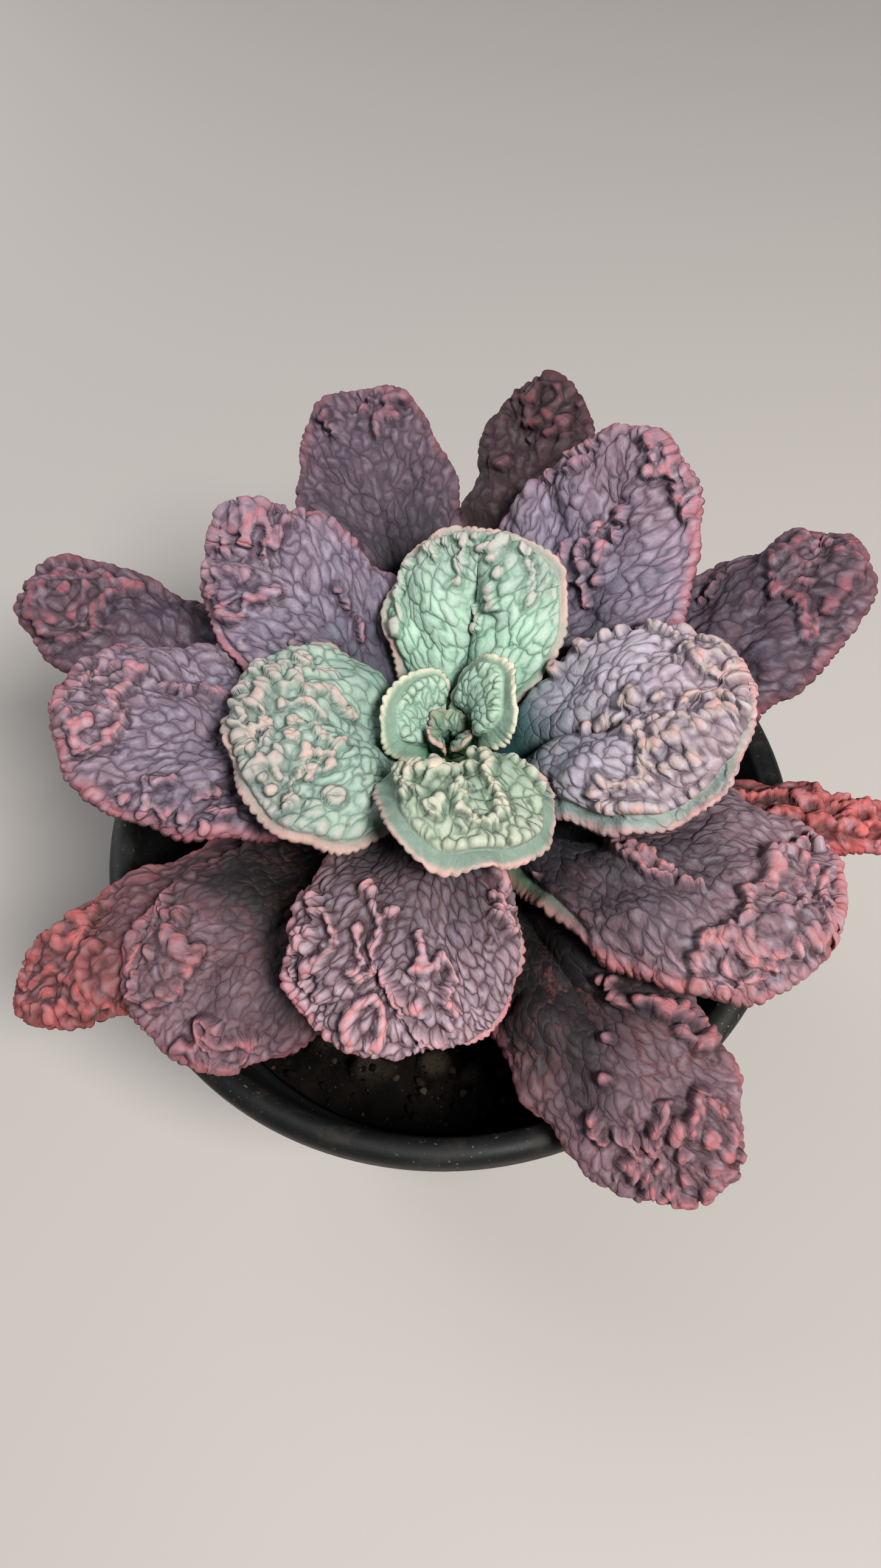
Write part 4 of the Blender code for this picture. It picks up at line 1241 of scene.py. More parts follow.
# %% Palettes of the middle leaves
MIDDLE_BACK = palette(
    (48, 54, 64), (130, 120, 140), (124, 102, 114), (64, 50, 62), (142, 106, 118),
    (176, 112, 120), (138, 118, 132), (120, 100, 108), (164, 102, 112), (94, 98, 106),
    flecks=0.15, cell_mm=3.4, stretch=0.65, slant=0.7, shaded=0.62, cell_height=0.0013)
MIDDLE_LEFT = palette(
    (48, 52, 62), (120, 108, 126), (120, 100, 114), (62, 50, 60), (142, 108, 118),
    (176, 114, 120), (134, 112, 124), (118, 96, 104), (166, 102, 110), (94, 96, 104),
    flecks=0.35, cell_mm=3.2, stretch=0.62, slant=0.6, shaded=0.60, cell_height=0.0013)
# Much of this leaf lies under the leaves above, so its dark blade and foot are partly painted shade
MIDDLE_RIGHT = palette(
    (24, 27, 31), (94, 78, 88), (136, 106, 116), (60, 47, 53), (148, 106, 112),
    (184, 116, 116), (138, 110, 118), (112, 92, 98), (174, 106, 108), (92, 122, 96),
    flecks=0.3, cell_mm=2.8, stretch=0.62, shaded=0.72, cell_height=0.0010, wart_height=0.0042,
    creased=0.45, wrinkled=0.2, bumped=0.6)
MIDDLE_FRONT = palette(
    (40, 42, 44), (132, 112, 126), (164, 140, 152), (66, 45, 49), (178, 138, 146),
    (202, 128, 128), (168, 140, 148), (132, 132, 124), (196, 122, 128), (96, 104, 100),
    flecks=0.5, cell_mm=2.8, stretch=1.0, slant=0.7, shaded=0.74, cell_height=0.0016,
    wart_height=0.0041, creased=0.85)
print("the lips of the front leaf are", [round(c, 2) for c in MIDDLE_FRONT.lip[:3]])

# %% Palettes of the outer leaves
# The old leaves' dark colours, darkest at the feet, are partly their own deep purple, partly
# painted shade
OUTER = palette(
    (15, 13, 13), (74, 61, 68), (116, 89, 99), (47, 36, 40), (126, 90, 98),
    (166, 98, 102), (122, 92, 100), (100, 78, 84), (158, 92, 98), (76, 70, 75),
    flecks=0.8, cell_mm=2.6, stretch=0.60, shaded=0.86, cell_height=0.0007, wart_height=0.0046,
    creased=0.4, dusted=0.18, wrinkled=0.15, bumped=0.5)
OUTER_BACK = palette(
    (15, 15, 16), (70, 63, 75), (90, 71, 84), (50, 43, 53), (112, 82, 94),
    (148, 90, 98), (104, 84, 96), (86, 72, 82), (130, 82, 92), (74, 70, 79),
    blushing=0.5, flecks=0.2, cell_mm=3.0, stretch=0.60, slant=0.6, shaded=0.80,
    cell_height=0.0009, creased=0.45, dusted=0.18, wrinkled=0.2, bumped=0.5)
LOWEST = palette(
    (24, 24, 29), (70, 60, 74), (88, 68, 80), (34, 27, 33), (106, 72, 82),
    (148, 84, 92), (102, 78, 88), (80, 64, 72), (128, 76, 84), (68, 62, 68),
    flecks=0.4, cell_mm=3.6, stretch=0.50, shaded=0.66, wart_height=0.0030, creased=0.45,
    dusted=0.2, wrinkled=0.2, bumped=0.5)
LOWEST_FRONT = palette(
    (26, 22, 25), (84, 62, 70), (138, 74, 72), (42, 28, 32), (150, 80, 80),
    (176, 90, 86), (128, 76, 78), (100, 66, 70), (160, 80, 78), (72, 60, 62),
    flecks=0.4, cell_mm=3.2, stretch=0.55, shaded=0.66, wart_height=0.0030, creased=0.45,
    dusted=0.15, wrinkled=0.2, bumped=0.5)
LOWEST_BACK = palette(
    (18, 15, 16), (46, 34, 37), (60, 42, 47), (24, 18, 20), (76, 48, 54),
    (114, 66, 72), (72, 50, 56), (56, 42, 46), (94, 54, 60), (38, 33, 36),
    flecks=0.3, cell_mm=3.6, stretch=0.50, wart_height=0.0026, creased=0.4, dusted=0.08,
    wrinkled=0.1, bumped=0.4)
WITHERED = palette(
    (40, 31, 31), (92, 64, 62), (172, 84, 84), (62, 34, 36), (172, 86, 84),
    (204, 104, 100), (164, 88, 86), (140, 82, 78), (176, 78, 80), (78, 54, 52),
    flecks=0.5, cell_mm=4.0, stretch=0.30, shaded=0.74, cell_height=0.0013)
print("the withered leaf's tip is", [round(c, 2) for c in WITHERED.tip[:3]])

# %% A palette for each leaf
PALETTES = {
    "bud": BUD, "heart": HEART, "young_front": YOUNG_FRONT, "young_back": YOUNG_BACK,
    "young_left": YOUNG_LEFT, "young_right": YOUNG_RIGHT, "middle_front": MIDDLE_FRONT,
    "middle_back_left": MIDDLE_BACK, "middle_back_right": MIDDLE_BACK,
    "middle_left": MIDDLE_LEFT, "middle_right": MIDDLE_RIGHT, "outer_back": OUTER_BACK,
    "outer": OUTER, "lowest_back": LOWEST_BACK, "lowest_front_left": LOWEST_FRONT,
    "lowest": LOWEST, "withered": WITHERED,
}


def palette_of(leaf):
    return PALETTES.get(leaf.name) or PALETTES[leaf.name.split("_")[0]]


print(len(PALETTES), "palettes for", len(LEAVES), "leaves")

# %% The colour of a blade and its warts
FLECK = paint(88, 44, 40)
# Colour of the pale wax powder, which on lit cell tops is also a painted highlight
POWDER_AND_HIGHLIGHT = paint(190, 186, 200)


def new_material(name, roughness, specular):
    made = bpy.data.materials.new(name)
    made.use_nodes = True
    shader = made.node_tree.nodes["Principled BSDF"]
    shader.inputs["Roughness"].default_value = roughness
    shader.inputs["Specular IOR Level"].default_value = specular
    return made, shader, Board(made.node_tree)


def end_material(shader, board, colour, rough, height, strength, distance):
    """Feed the shader what changes over a surface: its colour, roughness and fine relief."""
    board.feed(shader.inputs["Base Color"], colour)
    if rough is not None:
        board.feed(shader.inputs["Roughness"], board.limit(rough))
    bump = board.add("ShaderNodeBump", None,
                     {"Strength": strength, "Distance": distance, "Height": height})
    board.feed(shader.inputs["Normal"], bump)


def read(board, name, output="Fac"):
    return board.add("ShaderNodeAttribute", {"attribute_name": name}, None, output)


class Skin:
    """What the skin's material reads at each point of a leaf."""

    def __init__(self, board, colours):
        for name in ("along", "margin", "crown", "wart", "upper", "raised", "rib"):
            setattr(self, name, read(board, name))
        self.skin = read(board, "skin", "Vector")
        cells = skin_cells(board, self.skin, colours.cell_mm, colours.stretch)
        self.large, self.own, self.dome = cells
        self.cloud = board.noise(self.skin, 0.06, 3.0)
        self.grain = board.noise(self.skin, 1.6, 4.0, 0.65)
        self.grown = board.step(self.along, 0.15, 0.45)
        wrinkles = wrinkles_of(board, self.skin, colours.cell_mm, colours.stretch)
        self.wrinkles = wrinkles * colours.wrinkled
        self.patchy = board.step(board.noise(self.skin, 0.13, 2.0), 0.32, 0.56) * 0.75 + 0.25


def blade_colour(board, at, colours, lit, reach):
    """From the foot, darkened by painted shade, to the tip, cell by cell, with a blush near the
    margin.
    """
    # The foot's colour is partly its own blue green and partly painted shade
    colour = board.blend(lit, colours.foot, colours.blade)
    colour = board.blend(board.step(reach, 0.60, 0.95), colour, colours.tip)
    cells = ((at.own - 0.5) * 0.6 + 0.15) * at.grown * lit
    colour = board.blend(cells, colour, colours.plate)
    near_edge = board.step(at.margin + (at.cloud - 0.5) * 10.0, 11.0, 2.0)
    near_edge = near_edge * board.step(at.along, 0.3, 0.7)
    tops = board.step(at.large, 0.05, 0.35) * (at.grain * 0.7 + 0.5)
    return board.blend(board.limit(near_edge * tops) * colours.blushing, colour, colours.blush)


def wart_colour(board, at, colours, colour):
    """Plates over the warts, creases partly in painted shade, painted shadow round warts, blushing
    flanks, pale lips.
    """
    top = board.math("MAXIMUM", board.step(at.wart, -0.4, 0.6), at.raised)
    colour = board.blend(top * 0.7, colour, colours.plate)
    # Creases, and more broadly the low ground between cells, are darkened: partly their own colour,
    # partly painted shade
    crease = crease_of(board, at.skin, at.large, 0.24) * 0.65
    crease = crease + board.step(at.large, 0.45, 0.0) * 0.35
    crease = board.limit(crease + at.wrinkles * 0.4) * at.grown * at.crown * colours.creased
    colour = board.blend(crease, colour, colours.crease)
    # Painted shadow: a dark band round the foot of each wart, where the wart shades the skin beside
    # it
    painted_wart_shadow = board.step(board.math("ABSOLUTE", at.wart + 0.7), 0.8, 0.0)
    colour = board.blend(painted_wart_shadow * at.upper * 0.7, colour, colours.crease)
    flank = board.step(at.wart, -0.1, 0.6) * at.upper
    colour = board.blend(flank * 0.5, colour, colours.blush)
    crest = board.step(at.wart, 0.46, 1.15) * (at.grain * 0.5 + 0.5) * at.patchy * at.upper
    return board.blend(board.limit(crest), colour, colours.lip)


print("a blade is painted from foot to tip, and its warts over that")

# %% The margin, the flecks, the fold's painted shade and the powder's painted highlight
def margin_colour(board, at, colours, colour):
    """The flange beside the crown, and the pink rim."""
    flange = board.blend(board.step(at.along, 0.58, 0.30), colours.flange, colours.under)
    colour = board.blend(board.step(at.crown, 0.4, 0.05) * 0.85, colour, flange)
    wander = (at.grain - 0.5) * 1.4 + (at.cloud - 0.5) * 2.0 * colours.rim_mm
    rim = board.step(at.margin + wander, colours.rim_mm, 0.2) * at.grown
    return board.blend(rim * (at.patchy * 0.6 + 0.3), colour, colours.edge)


def worn_and_painted_light_colour(board, at, colours, colour, lit):
    """Brown flecks, the underside, the midrib's fold partly in painted shade, and the wax powder,
    partly a painted highlight.
    """
    blotch = board.step(board.noise(at.skin, 0.9, 3.0, 0.6), 0.46, 0.60)
    blotch = blotch * board.step(at.own, 0.45, 0.75)
    fleck = blotch * board.step(at.cloud, 0.44, 0.60) * colours.flecks
    colour = board.blend(fleck * at.grown * 0.8, colour, FLECK)
    colour = board.blend(board.step(at.upper, 0.5, 0.0), colour, colours.under)
    # The midrib's fold takes the foot's colour: partly its own blue green, partly painted shade in
    # the groove
    fold = board.step(at.rib, 0.45, 0.95) * at.upper * 0.75
    colour = board.blend(fold, colour, colours.foot)
    # The wax powder lies pale on cell tops only where lit is high: partly real bloom, partly a
    # painted highlight
    powder_and_highlight = board.step(board.noise(at.skin, 0.45, 4.0, 0.6), 0.36, 0.66)
    powder_and_highlight = powder_and_highlight * board.step(at.large, 0.06, 0.40)
    colour = board.blend(powder_and_highlight * lit * at.upper * colours.dusted, colour, POWDER_AND_HIGHLIGHT)
    shade = board.blend(at.grain, paint(212, 212, 212), paint(255, 255, 255))
    return board.blend(1.0, colour, shade, "MULTIPLY")


print("the powder's colour is", [round(c, 2) for c in POWDER_AND_HIGHLIGHT[:3]])

# %% The skin's whole material
SKIN_BUMP = 0.0005


def leaf_skin(name, colours):
    made, shader, board = new_material(name, 0.7, 0.22)
    at = Skin(board, colours)
    # Painted shade: lit is 0 at the foot, where other leaves shade it, and 1 on the open blade
    reach = at.along + (at.cloud - 0.5) * 0.35
    lit = board.step(reach, colours.shaded - 0.34, colours.shaded + 0.12)
    colour = blade_colour(board, at, colours, lit, reach)
    colour = wart_colour(board, at, colours, colour)
    colour = margin_colour(board, at, colours, colour)
    colour = worn_and_painted_light_colour(board, at, colours, colour, lit)
    height = at.grain * 0.4 + board.noise(at.skin, 0.9, 2.0) * 0.6
    height = height + pillow(board, at.large, 0.20) * 0.6 * at.crown
    height = height + board.step(at.wart, -0.45, 0.35) * at.upper * 1.6
    height = height + (at.dome - at.wrinkles) * at.crown * 0.5
    end_material(shader, board, colour, at.grain * 0.22 + 0.58, height * at.grown,
                 colours.bumped, SKIN_BUMP)
    return made


print("the skin's material is painted from a palette")


# Grid steps in millimetres, of a leaf or of a kind of leaf
GRIDS = {"middle_front": 0.46, "middle_right": 0.50, "outer_front_right": 0.52,
         "outer_front_left": 0.58, "bud": 0.34, "heart": 0.34, "young": 0.46, "middle": 0.54,
         "withered": 0.80}
PLAIN_GRID = 0.66
FIRST_SEED = 1.0
SEED_STEP = 0.37


def spacing_of(leaf):
    return GRIDS.get(leaf.name) or GRIDS.get(leaf.name.split("_")[0], PLAIN_GRID)


def make_leaf(leaf, seed, trees, skins):
    colours = palette_of(leaf)
    key = next(name for name, each in PALETTES.items() if each is colours)
    if key not in skins:
        skins[key] = leaf_skin("skin_" + key, colours)
        trees[key] = relief_tree(colours.cell_mm, colours.stretch)
    corners, faces, attributes = leaf_shell(leaf, seed, spacing_of(leaf), colours.slant)
    body = make_object("leaf_" + leaf.name, corners, faces, attributes)
    apply_tree(body, trees[key], {"Cell height": colours.cell_height,
                                  "Wart height": colours.wart_height, "Skin": skins[key]})
    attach(body, "root")
    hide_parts(leaf.name)
    return body


trees, skins = {}, {}
leaf_bodies = {}
for number, leaf in enumerate(LEAVES):
    seed = FIRST_SEED + number * SEED_STEP
    leaf_bodies[leaf.name] = make_leaf(leaf, seed, trees, skins)
triangles = 0
for body in leaf_bodies.values():
    body.data.calc_loop_triangles()
    triangles += len(body.data.loop_triangles)
print(len(LEAVES), "leaves and buds with", triangles, "triangles")

# %% [markdown]
# ## Leaves that touch
#
# A crest that grows against the leaf above it is pressed flat there. The raised relief doesn't
# know about other leaves, so each point that ended up inside another leaf goes back to its own
# leaf's solid, which is clear of its neighbours. The points round it follow part of the way, so
# that the pressed place has no step at its edge.

# %% Find the points that touch
PROBE = Vector((0.0122, 0.0217, 0.9997)).normalized()     # a direction along no edge
PROBE_STEP = 1e-6                # how far past a crossing the next one is looked for
MOST_CROSSINGS = 16
TOUCH_REACH = 0.009              # how deep a crest is looked for inside another leaf
TOUCH_MARGIN = 0.001             # how far round the meeting faces points are tried


def surface_of(body):
    mesh = body.data
    mesh.calc_loop_triangles()
    return BVHTree.FromPolygons([corner.co for corner in mesh.vertices],
                                [tuple(face.vertices) for face in mesh.loop_triangles])


def is_inside(surface, place):
    """True where a line from the place leaves the closed surface an odd number of times."""
    crossings = 0
    while crossings < MOST_CROSSINGS:
        met = surface.ray_cast(place, PROBE)[0]
        if met is None:
            break
        crossings += 1
        place = met + PROBE * PROBE_STEP
    return crossings % 2 == 1


def points_of(body):
    places = np.empty(len(body.data.vertices) * 3)
    body.data.vertices.foreach_get("co", places)
    return places.reshape(-1, 3)


def touching_points(body, own, other):
    """Numbers of the body's points that lie inside the other surface."""
    faces = body.data.loop_triangles
    met = {corner for near, _ in own.overlap(other) for corner in faces[near].vertices}
    if not met:
        return []
    places = points_of(body)
    first, last = places[list(met)].min(axis=0), places[list(met)].max(axis=0)
    first, last = first - TOUCH_MARGIN, last + TOUCH_MARGIN
    near = np.all((places > first) & (places < last), axis=1)
    return [int(number) for number in np.nonzero(near)[0]
            if other.find_nearest(places[number], TOUCH_REACH)[0] is not None
            and is_inside(other, Vector(places[number]))]


def all_touching(bodies):
    """For each leaf, the numbers of its points that lie inside another leaf."""
    surfaces = {name: surface_of(body) for name, body in bodies.items()}
    return {name: sorted({number for other in bodies if other != name
                          for number in touching_points(body, surfaces[name], surfaces[other])})
            for name, body in bodies.items()}


touching = all_touching(leaf_bodies)
print(sum(len(points) for points in touching.values()), "points lie inside another leaf")

# %% Press them flat
PRESSED_GAP = 0.00005            # left between a pressed place and its own solid
PRESSED_SHARE = 0.96             # how far a point goes there, so that no two points meet
FOLLOW_SHARE = 0.75              # how much of a point's move each neighbour follows
FOLLOW_ROUNDS = 6


def follow(body, pressed):
    """1 at the pressed points, and less with each edge further from them."""
    share = np.zeros(len(body.data.vertices))
    share[pressed] = 1.0
    ends = np.empty(len(body.data.edges) * 2, dtype=np.int64)
    body.data.edges.foreach_get("vertices", ends)
    ends = ends.reshape(-1, 2)
    for _ in range(FOLLOW_ROUNDS):
        wider = share.copy()
        np.maximum.at(wider, ends[:, 0], share[ends[:, 1]] * FOLLOW_SHARE)
        np.maximum.at(wider, ends[:, 1], share[ends[:, 0]] * FOLLOW_SHARE)
        share = wider
    return share


def press(body, solid, pressed):
    """Move the raised points that are pressed, and a share of those round them, to the solid."""
    places = points_of(body)
    share = follow(body, pressed)
    for number in np.nonzero(share)[0]:
        place = Vector(places[number])
        base, out, _, _ = solid.find_nearest(place)
        if (place - base).dot(out) > PRESSED_GAP:
            target = base + out * PRESSED_GAP
            places[number] = place.lerp(target, share[number] * PRESSED_SHARE)
    body.data.vertices.foreach_set("co", places.ravel())
    body.data.update()


for name, pressed in touching.items():
    if pressed:
        press(leaf_bodies[name], surface_of(bpy.data.objects[name]), pressed)
        print(name, "has", len(pressed), "points pressed against another leaf")

# %% [markdown]
# ## The pot
#
# The pot is one turned profile, the same as the solid's but with rounder corners and four times the
# sides, and drain holes cut through its floor. The plastic is nearly black and half glossy. What
# makes it real is use: cloudy smudges, fine scratches round the wall, and pale specks of grit.

# %% The pot's wall and lip
POT_HEIGHT = 0.140
RIM_RADIUS = 0.100
LIP_WIDTH = 0.0075
LIP_DROP = 0.009
WALL = 0.0018
MOUTH_RADIUS = RIM_RADIUS - LIP_WIDTH
BASE_RADIUS = 0.070
BASE_ROUNDING = 0.003
FLOOR = 0.0025
STEP_HEIGHT = 0.104
STEP_RISE = 0.003
STEP_WIDTH = 0.0018


def outer_wall(height):
    """Outside radius of the pot's wall, which flares and steps out at the shoulder."""
    radius = BASE_RADIUS + (MOUTH_RADIUS + WALL - BASE_RADIUS) * height / POT_HEIGHT
    return radius - STEP_WIDTH * (1 - float(soft_step((height - STEP_HEIGHT) / STEP_RISE)))


def inner_wall(height):
    return outer_wall(height) - WALL


def arc(centre_radius, centre_height, size, start, end, count):
    turns = np.radians(np.linspace(start, end, count))
    return [(centre_radius + size * np.cos(turn), centre_height + size * np.sin(turn))
            for turn in turns]


def pot_profile():
    """(radius, height) points from the middle of the underside, over the lip, to the floor."""
    lip = LIP_WIDTH / 2
    lip_foot = POT_HEIGHT - LIP_DROP
    corner = BASE_RADIUS - STEP_WIDTH - BASE_ROUNDING
    shoulder = np.linspace(STEP_HEIGHT, STEP_HEIGHT + STEP_RISE, 6)
    profile = [(0.0, 0.0), (0.020, 0.0), (corner - 0.009, 0.0), (corner - 0.006, 0.0)]
    profile += arc(corner, BASE_ROUNDING, BASE_ROUNDING, -90, 0, 8)
    profile += [(outer_wall(height), height) for height in np.linspace(0.006, 0.101, 14)]
    profile += [(outer_wall(height), height) for height in shoulder]
    profile += [(outer_wall(height), height) for height in (0.114, 0.124, lip_foot - 0.001)]
    profile += [(outer_wall(lip_foot), lip_foot + 0.0015), (RIM_RADIUS - 0.0026, lip_foot + 0.0002)]
    profile += arc(RIM_RADIUS - 0.0014, lip_foot + 0.0013, 0.0013, -110, 0, 6)
    profile += arc(RIM_RADIUS - lip, POT_HEIGHT - lip, lip, 0, 180, 17)
    profile += [(inner_wall(height), height) for height in (0.132, 0.120)]
    profile += [(inner_wall(height), height) for height in shoulder[::-1]]
    profile += [(inner_wall(height), height) for height in (0.080, 0.050, 0.012)]
    profile += [(inner_wall(FLOOR) - 0.004, FLOOR), (0.030, FLOOR), (0.0, FLOOR)]
    return profile


print("the pot's profile has", len(pot_profile()), "points")

# %% Turned shapes
def ring_faces(rings, sides, flip=False):
    """Faces of a closed shape: rings of corners between a first corner and a last one."""
    after = [(a, (a + 1) % sides) for a in range(sides)]
    faces = [(0, 1 + b, 1 + a) for a, b in after]
    for near in range(1, 1 + (rings - 1) * sides, sides):
        far = near + sides
        faces += [(near + a, near + b, far + b, far + a) for a, b in after]
    last = 1 + (rings - 1) * sides
    faces += [(last + a, last + b, last + sides) for a, b in after]
    return [face[:1] + face[:0:-1] for face in faces] if flip else faces


def turned(profile, sides, middle=(0.0, 0.0)):
    """Corners and faces of a closed turned shape whose profile starts and ends on the axis."""
    turns = 2 * np.pi * np.arange(sides) / sides
    corners = [(middle[0], middle[1], profile[0][1])]
    for radius, height in profile[1:-1]:
        corners += [(middle[0] + radius * np.cos(turn), middle[1] + radius * np.sin(turn), height)
                    for turn in turns]
    corners.append((middle[0], middle[1], profile[-1][1]))
    return np.array(corners), ring_faces(len(profile) - 2, sides)


print("a profile can be turned into a closed shape")

# %% Plastic
PLASTIC = paint(11, 13, 13)
PLASTIC_WORN = paint(23, 26, 25)
DUST = paint(112, 102, 88)
SOILED = paint(66, 54, 43)
LIP_HEIGHT = (POT_HEIGHT - 0.010, POT_HEIGHT - 0.003)     # from clean to wholly soiled


def plastic():
    made, shader, board = new_material("black_plastic", 0.5, 0.26)
    place = board.add("ShaderNodeTexCoord", None, None, "Object")
    cloud = board.noise(place, 34.0, 4.0, 0.6)
    drawn_out = board.vector("MULTIPLY", place, (60.0, 60.0, 2600.0))
    scratches = board.step(board.noise(drawn_out, 1.0, 2.0, 0.6), 0.60, 0.72)
    grain = board.noise(place, 2200.0, 2.0)
    height = board.add("ShaderNodeSeparateXYZ", None, {"Vector": place}, "Z")
    lip = board.step(height, *LIP_HEIGHT)
    speckled = board.step(board.noise(place, 900.0, 1.0) + lip * 0.035, 0.735, 0.76)
    film = board.step(board.noise(place, 120.0, 4.0, 0.65), 0.46, 0.70) * lip
    clustered = board.step(cloud, 0.42, 0.62)
    colour = board.blend(board.step(cloud, 0.40, 0.75) * 0.65, PLASTIC, PLASTIC_WORN)
    colour = board.blend(scratches * 0.22, colour, PLASTIC_WORN)
    colour = board.blend(film * 0.22, colour, SOILED)
    colour = board.blend(speckled * clustered * 0.8, colour, DUST)
    rough = cloud * 0.35 + scratches * 0.12 + speckled * clustered * 0.3 + film * 0.15 + 0.36
    end_material(shader, board, colour, rough, grain * 0.5 + scratches * 0.3, 0.25, 0.0003)
    return made


print("plastic is clouded, scratched and specked")

# %% Make the pot
DRAIN_COUNT = 6
DRAIN_SIDES = 28
DRAIN_RADIUS = 0.005
DRAIN_RING = 0.045
POT_SIDES = 160
CREASE_ANGLE = math.radians(40)  # from which on two faces meet in a sharp edge


def drain_drill():
    """Six round pins where the drain holes go."""
    pins = bmesh.new()
    for hole in range(DRAIN_COUNT):
        turn = 2 * math.pi * (hole + 0.5) / DRAIN_COUNT
        pin = bmesh.ops.create_cone(pins, cap_ends=True, segments=DRAIN_SIDES,
                                    radius1=DRAIN_RADIUS, radius2=DRAIN_RADIUS,
                                    depth=4 * FLOOR)
        # Half a side's turn keeps the pin's corners off the edges of the floor that it cuts
        bmesh.ops.rotate(pins, verts=pin["verts"], cent=(0.0, 0.0, 0.0),
                         matrix=Matrix.Rotation(math.pi / DRAIN_SIDES, 3, "Z"))
        place = (DRAIN_RING * math.cos(turn), DRAIN_RING * math.sin(turn), FLOOR / 2)
        bmesh.ops.translate(pins, verts=pin["verts"], vec=place)
    mesh = bpy.data.meshes.new("drill")
    pins.to_mesh(mesh)
    pins.free()
    drill = bpy.data.objects.new("drill", mesh)
    bpy.context.scene.collection.objects.link(drill)
    return drill


def make_pot():
    body = make_object("pot_moulded", *turned(pot_profile(), POT_SIDES))
    drill = drain_drill()
    cut = body.modifiers.new("drains", "BOOLEAN")
    cut.operation = "DIFFERENCE"
    cut.object = drill
    ready = body.evaluated_get(bpy.context.evaluated_depsgraph_get())
    mesh = bpy.data.meshes.new_from_object(ready)
    body.modifiers.remove(cut)
    body.data = mesh
    bpy.data.objects.remove(drill)
    mesh.shade_smooth()
    mesh.set_sharp_from_angle(angle=CREASE_ANGLE)
    body.data.materials.clear()
    body.data.materials.append(plastic())
    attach(body, "root")
    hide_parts("pot")
    return body


pot = make_pot()
print("the pot has", len(pot.data.polygons), "faces")

# %% [markdown]
# ## The soil
#
# The soil follows the solid's hills and pebbles, with finer crumbs on top. Geometry Nodes then
# strew grit over it: each grain is one small rough ball, turned and scaled at random from a fixed
# seed, sunk half into the ground. A number of its own tells the material how pale the grain is.

# %% The soil's hills and stones
SOIL_TOP = 0.104
SOIL_ROUGHNESS = 0.0022
# Larger stones: (x, y, half width, height, how dusty)
PEBBLES = [
    (-0.0300, -0.0612, 0.0075, 0.0052, 0.45), (-0.0123, -0.0625, 0.0052, 0.0050, 0.75),
    (-0.0020, -0.0664, 0.0040, 0.0034, 0.55), (0.0180, -0.0610, 0.0060, 0.0045, 0.3),
    (0.031, -0.058, 0.0045, 0.0035, 0.5), (-0.045, -0.052, 0.0050, 0.0030, 0.4),
    (0.055, -0.040, 0.0050, 0.0030, 0.4), (-0.060, 0.020, 0.0060, 0.0040, 0.5),
    (0.058, 0.034, 0.0060, 0.0040, 0.5), (0.010, 0.068, 0.0060, 0.0040, 0.4),
    (-0.034, 0.056, 0.0055, 0.0035, 0.6),
]


def stone_shape(x, y, stone_x, stone_y, size):
    """1 over the middle of a rounded stone and 0 outside it."""
    far = np.hypot((x - stone_x) / size, (y - stone_y) / (0.8 * size))
    return np.sqrt(np.clip(1 - far ** 2.6, 0.0, 1.0))


def soil_height(x, y):
    waves = (np.sin(x * 210 + 0.7) * np.cos(y * 170 - 0.4) + 0.6 * np.sin(x * 430 - y * 350 + 1.9)
             + 0.5 * np.cos(x * 120 + y * 510))
    height = SOIL_TOP + SOIL_ROUGHNESS * waves / 2
    for stone_x, stone_y, size, rise, _ in PEBBLES:
        height = height + rise * stone_shape(x, y, stone_x, stone_y, size)
    return height


def stone_cover(x, y):
    return np.max([stone_shape(x, y, *stone[:3]) * stone[4] for stone in PEBBLES], axis=0)


print(len(PEBBLES), "stones, up to", round(2000 * max(stone[2] for stone in PEBBLES)), "mm wide")

# %% The soil's shell
GAP = 0.0003                     # between the soil and what it touches
SOIL_RINGS = 104
SOIL_SIDES = 330
STEM_FOOT = STEM_SHAPE[0][0]


def soil_shell():
    """The top as rings round the stem's hole, and a plain side and bottom inside the pot."""
    hole = float(stem_radius(STEM_FOOT)) + GAP
    outer = inner_wall(SOIL_TOP - 0.004) - GAP
    turns = 2 * np.pi * np.arange(SOIL_SIDES) / SOIL_SIDES
    rings = [(hole, PLANT[0], PLANT[1], STEM_FOOT - GAP)]
    for share in np.linspace(0.0, 1.0, SOIL_RINGS):
        rings.append((hole + (outer - hole) * share, PLANT[0] * (1 - share),
                      PLANT[1] * (1 - share), None))
    for height in (SOIL_TOP - 0.007, 0.060, 0.012):
        rings.append((inner_wall(height) - GAP, 0.0, 0.0, height))
    rings.append((inner_wall(FLOOR) - 0.006, 0.0, 0.0, FLOOR + GAP))
    corners = [np.array([[PLANT[0], PLANT[1], STEM_FOOT - GAP]])]
    for radius, middle_x, middle_y, height in rings:
        x, y = middle_x + radius * np.cos(turns), middle_y + radius * np.sin(turns)
        z = soil_height(x, y) if height is None else np.full(SOIL_SIDES, height)
        corners.append(np.stack([x, y, z], axis=1))
    corners.append(np.array([[0.0, 0.0, FLOOR + GAP]]))
    corners = np.concatenate(corners)
    faces = ring_faces(len(rings), SOIL_SIDES, flip=True)
    loose = np.zeros(len(corners))
    first = 1 + SOIL_SIDES
    loose[first:first + (SOIL_RINGS - 2) * SOIL_SIDES] = 1.0
    stone = stone_cover(corners[:, 0], corners[:, 1]) * loose
    return corners, faces, {"loose": loose, "grain": np.zeros(len(corners)), "stone": stone}


print("the soil's top lies", round(1000 * (POT_HEIGHT - SOIL_TOP)), "mm under the rim")

# %% The soil's grit
GRAIN_RADIUS = 0.001
GRAIN_DENT = 0.0012
FULL_TURN = 6.28


def random_value(board, low, high, seed):
    """A random number or vector for each grain."""
    kind = "FLOAT_VECTOR" if isinstance(low, tuple) else "FLOAT"
    return board.add("FunctionNodeRandomValue", {"data_type": kind},
                     {"Min": low, "Max": high, "Seed": seed})


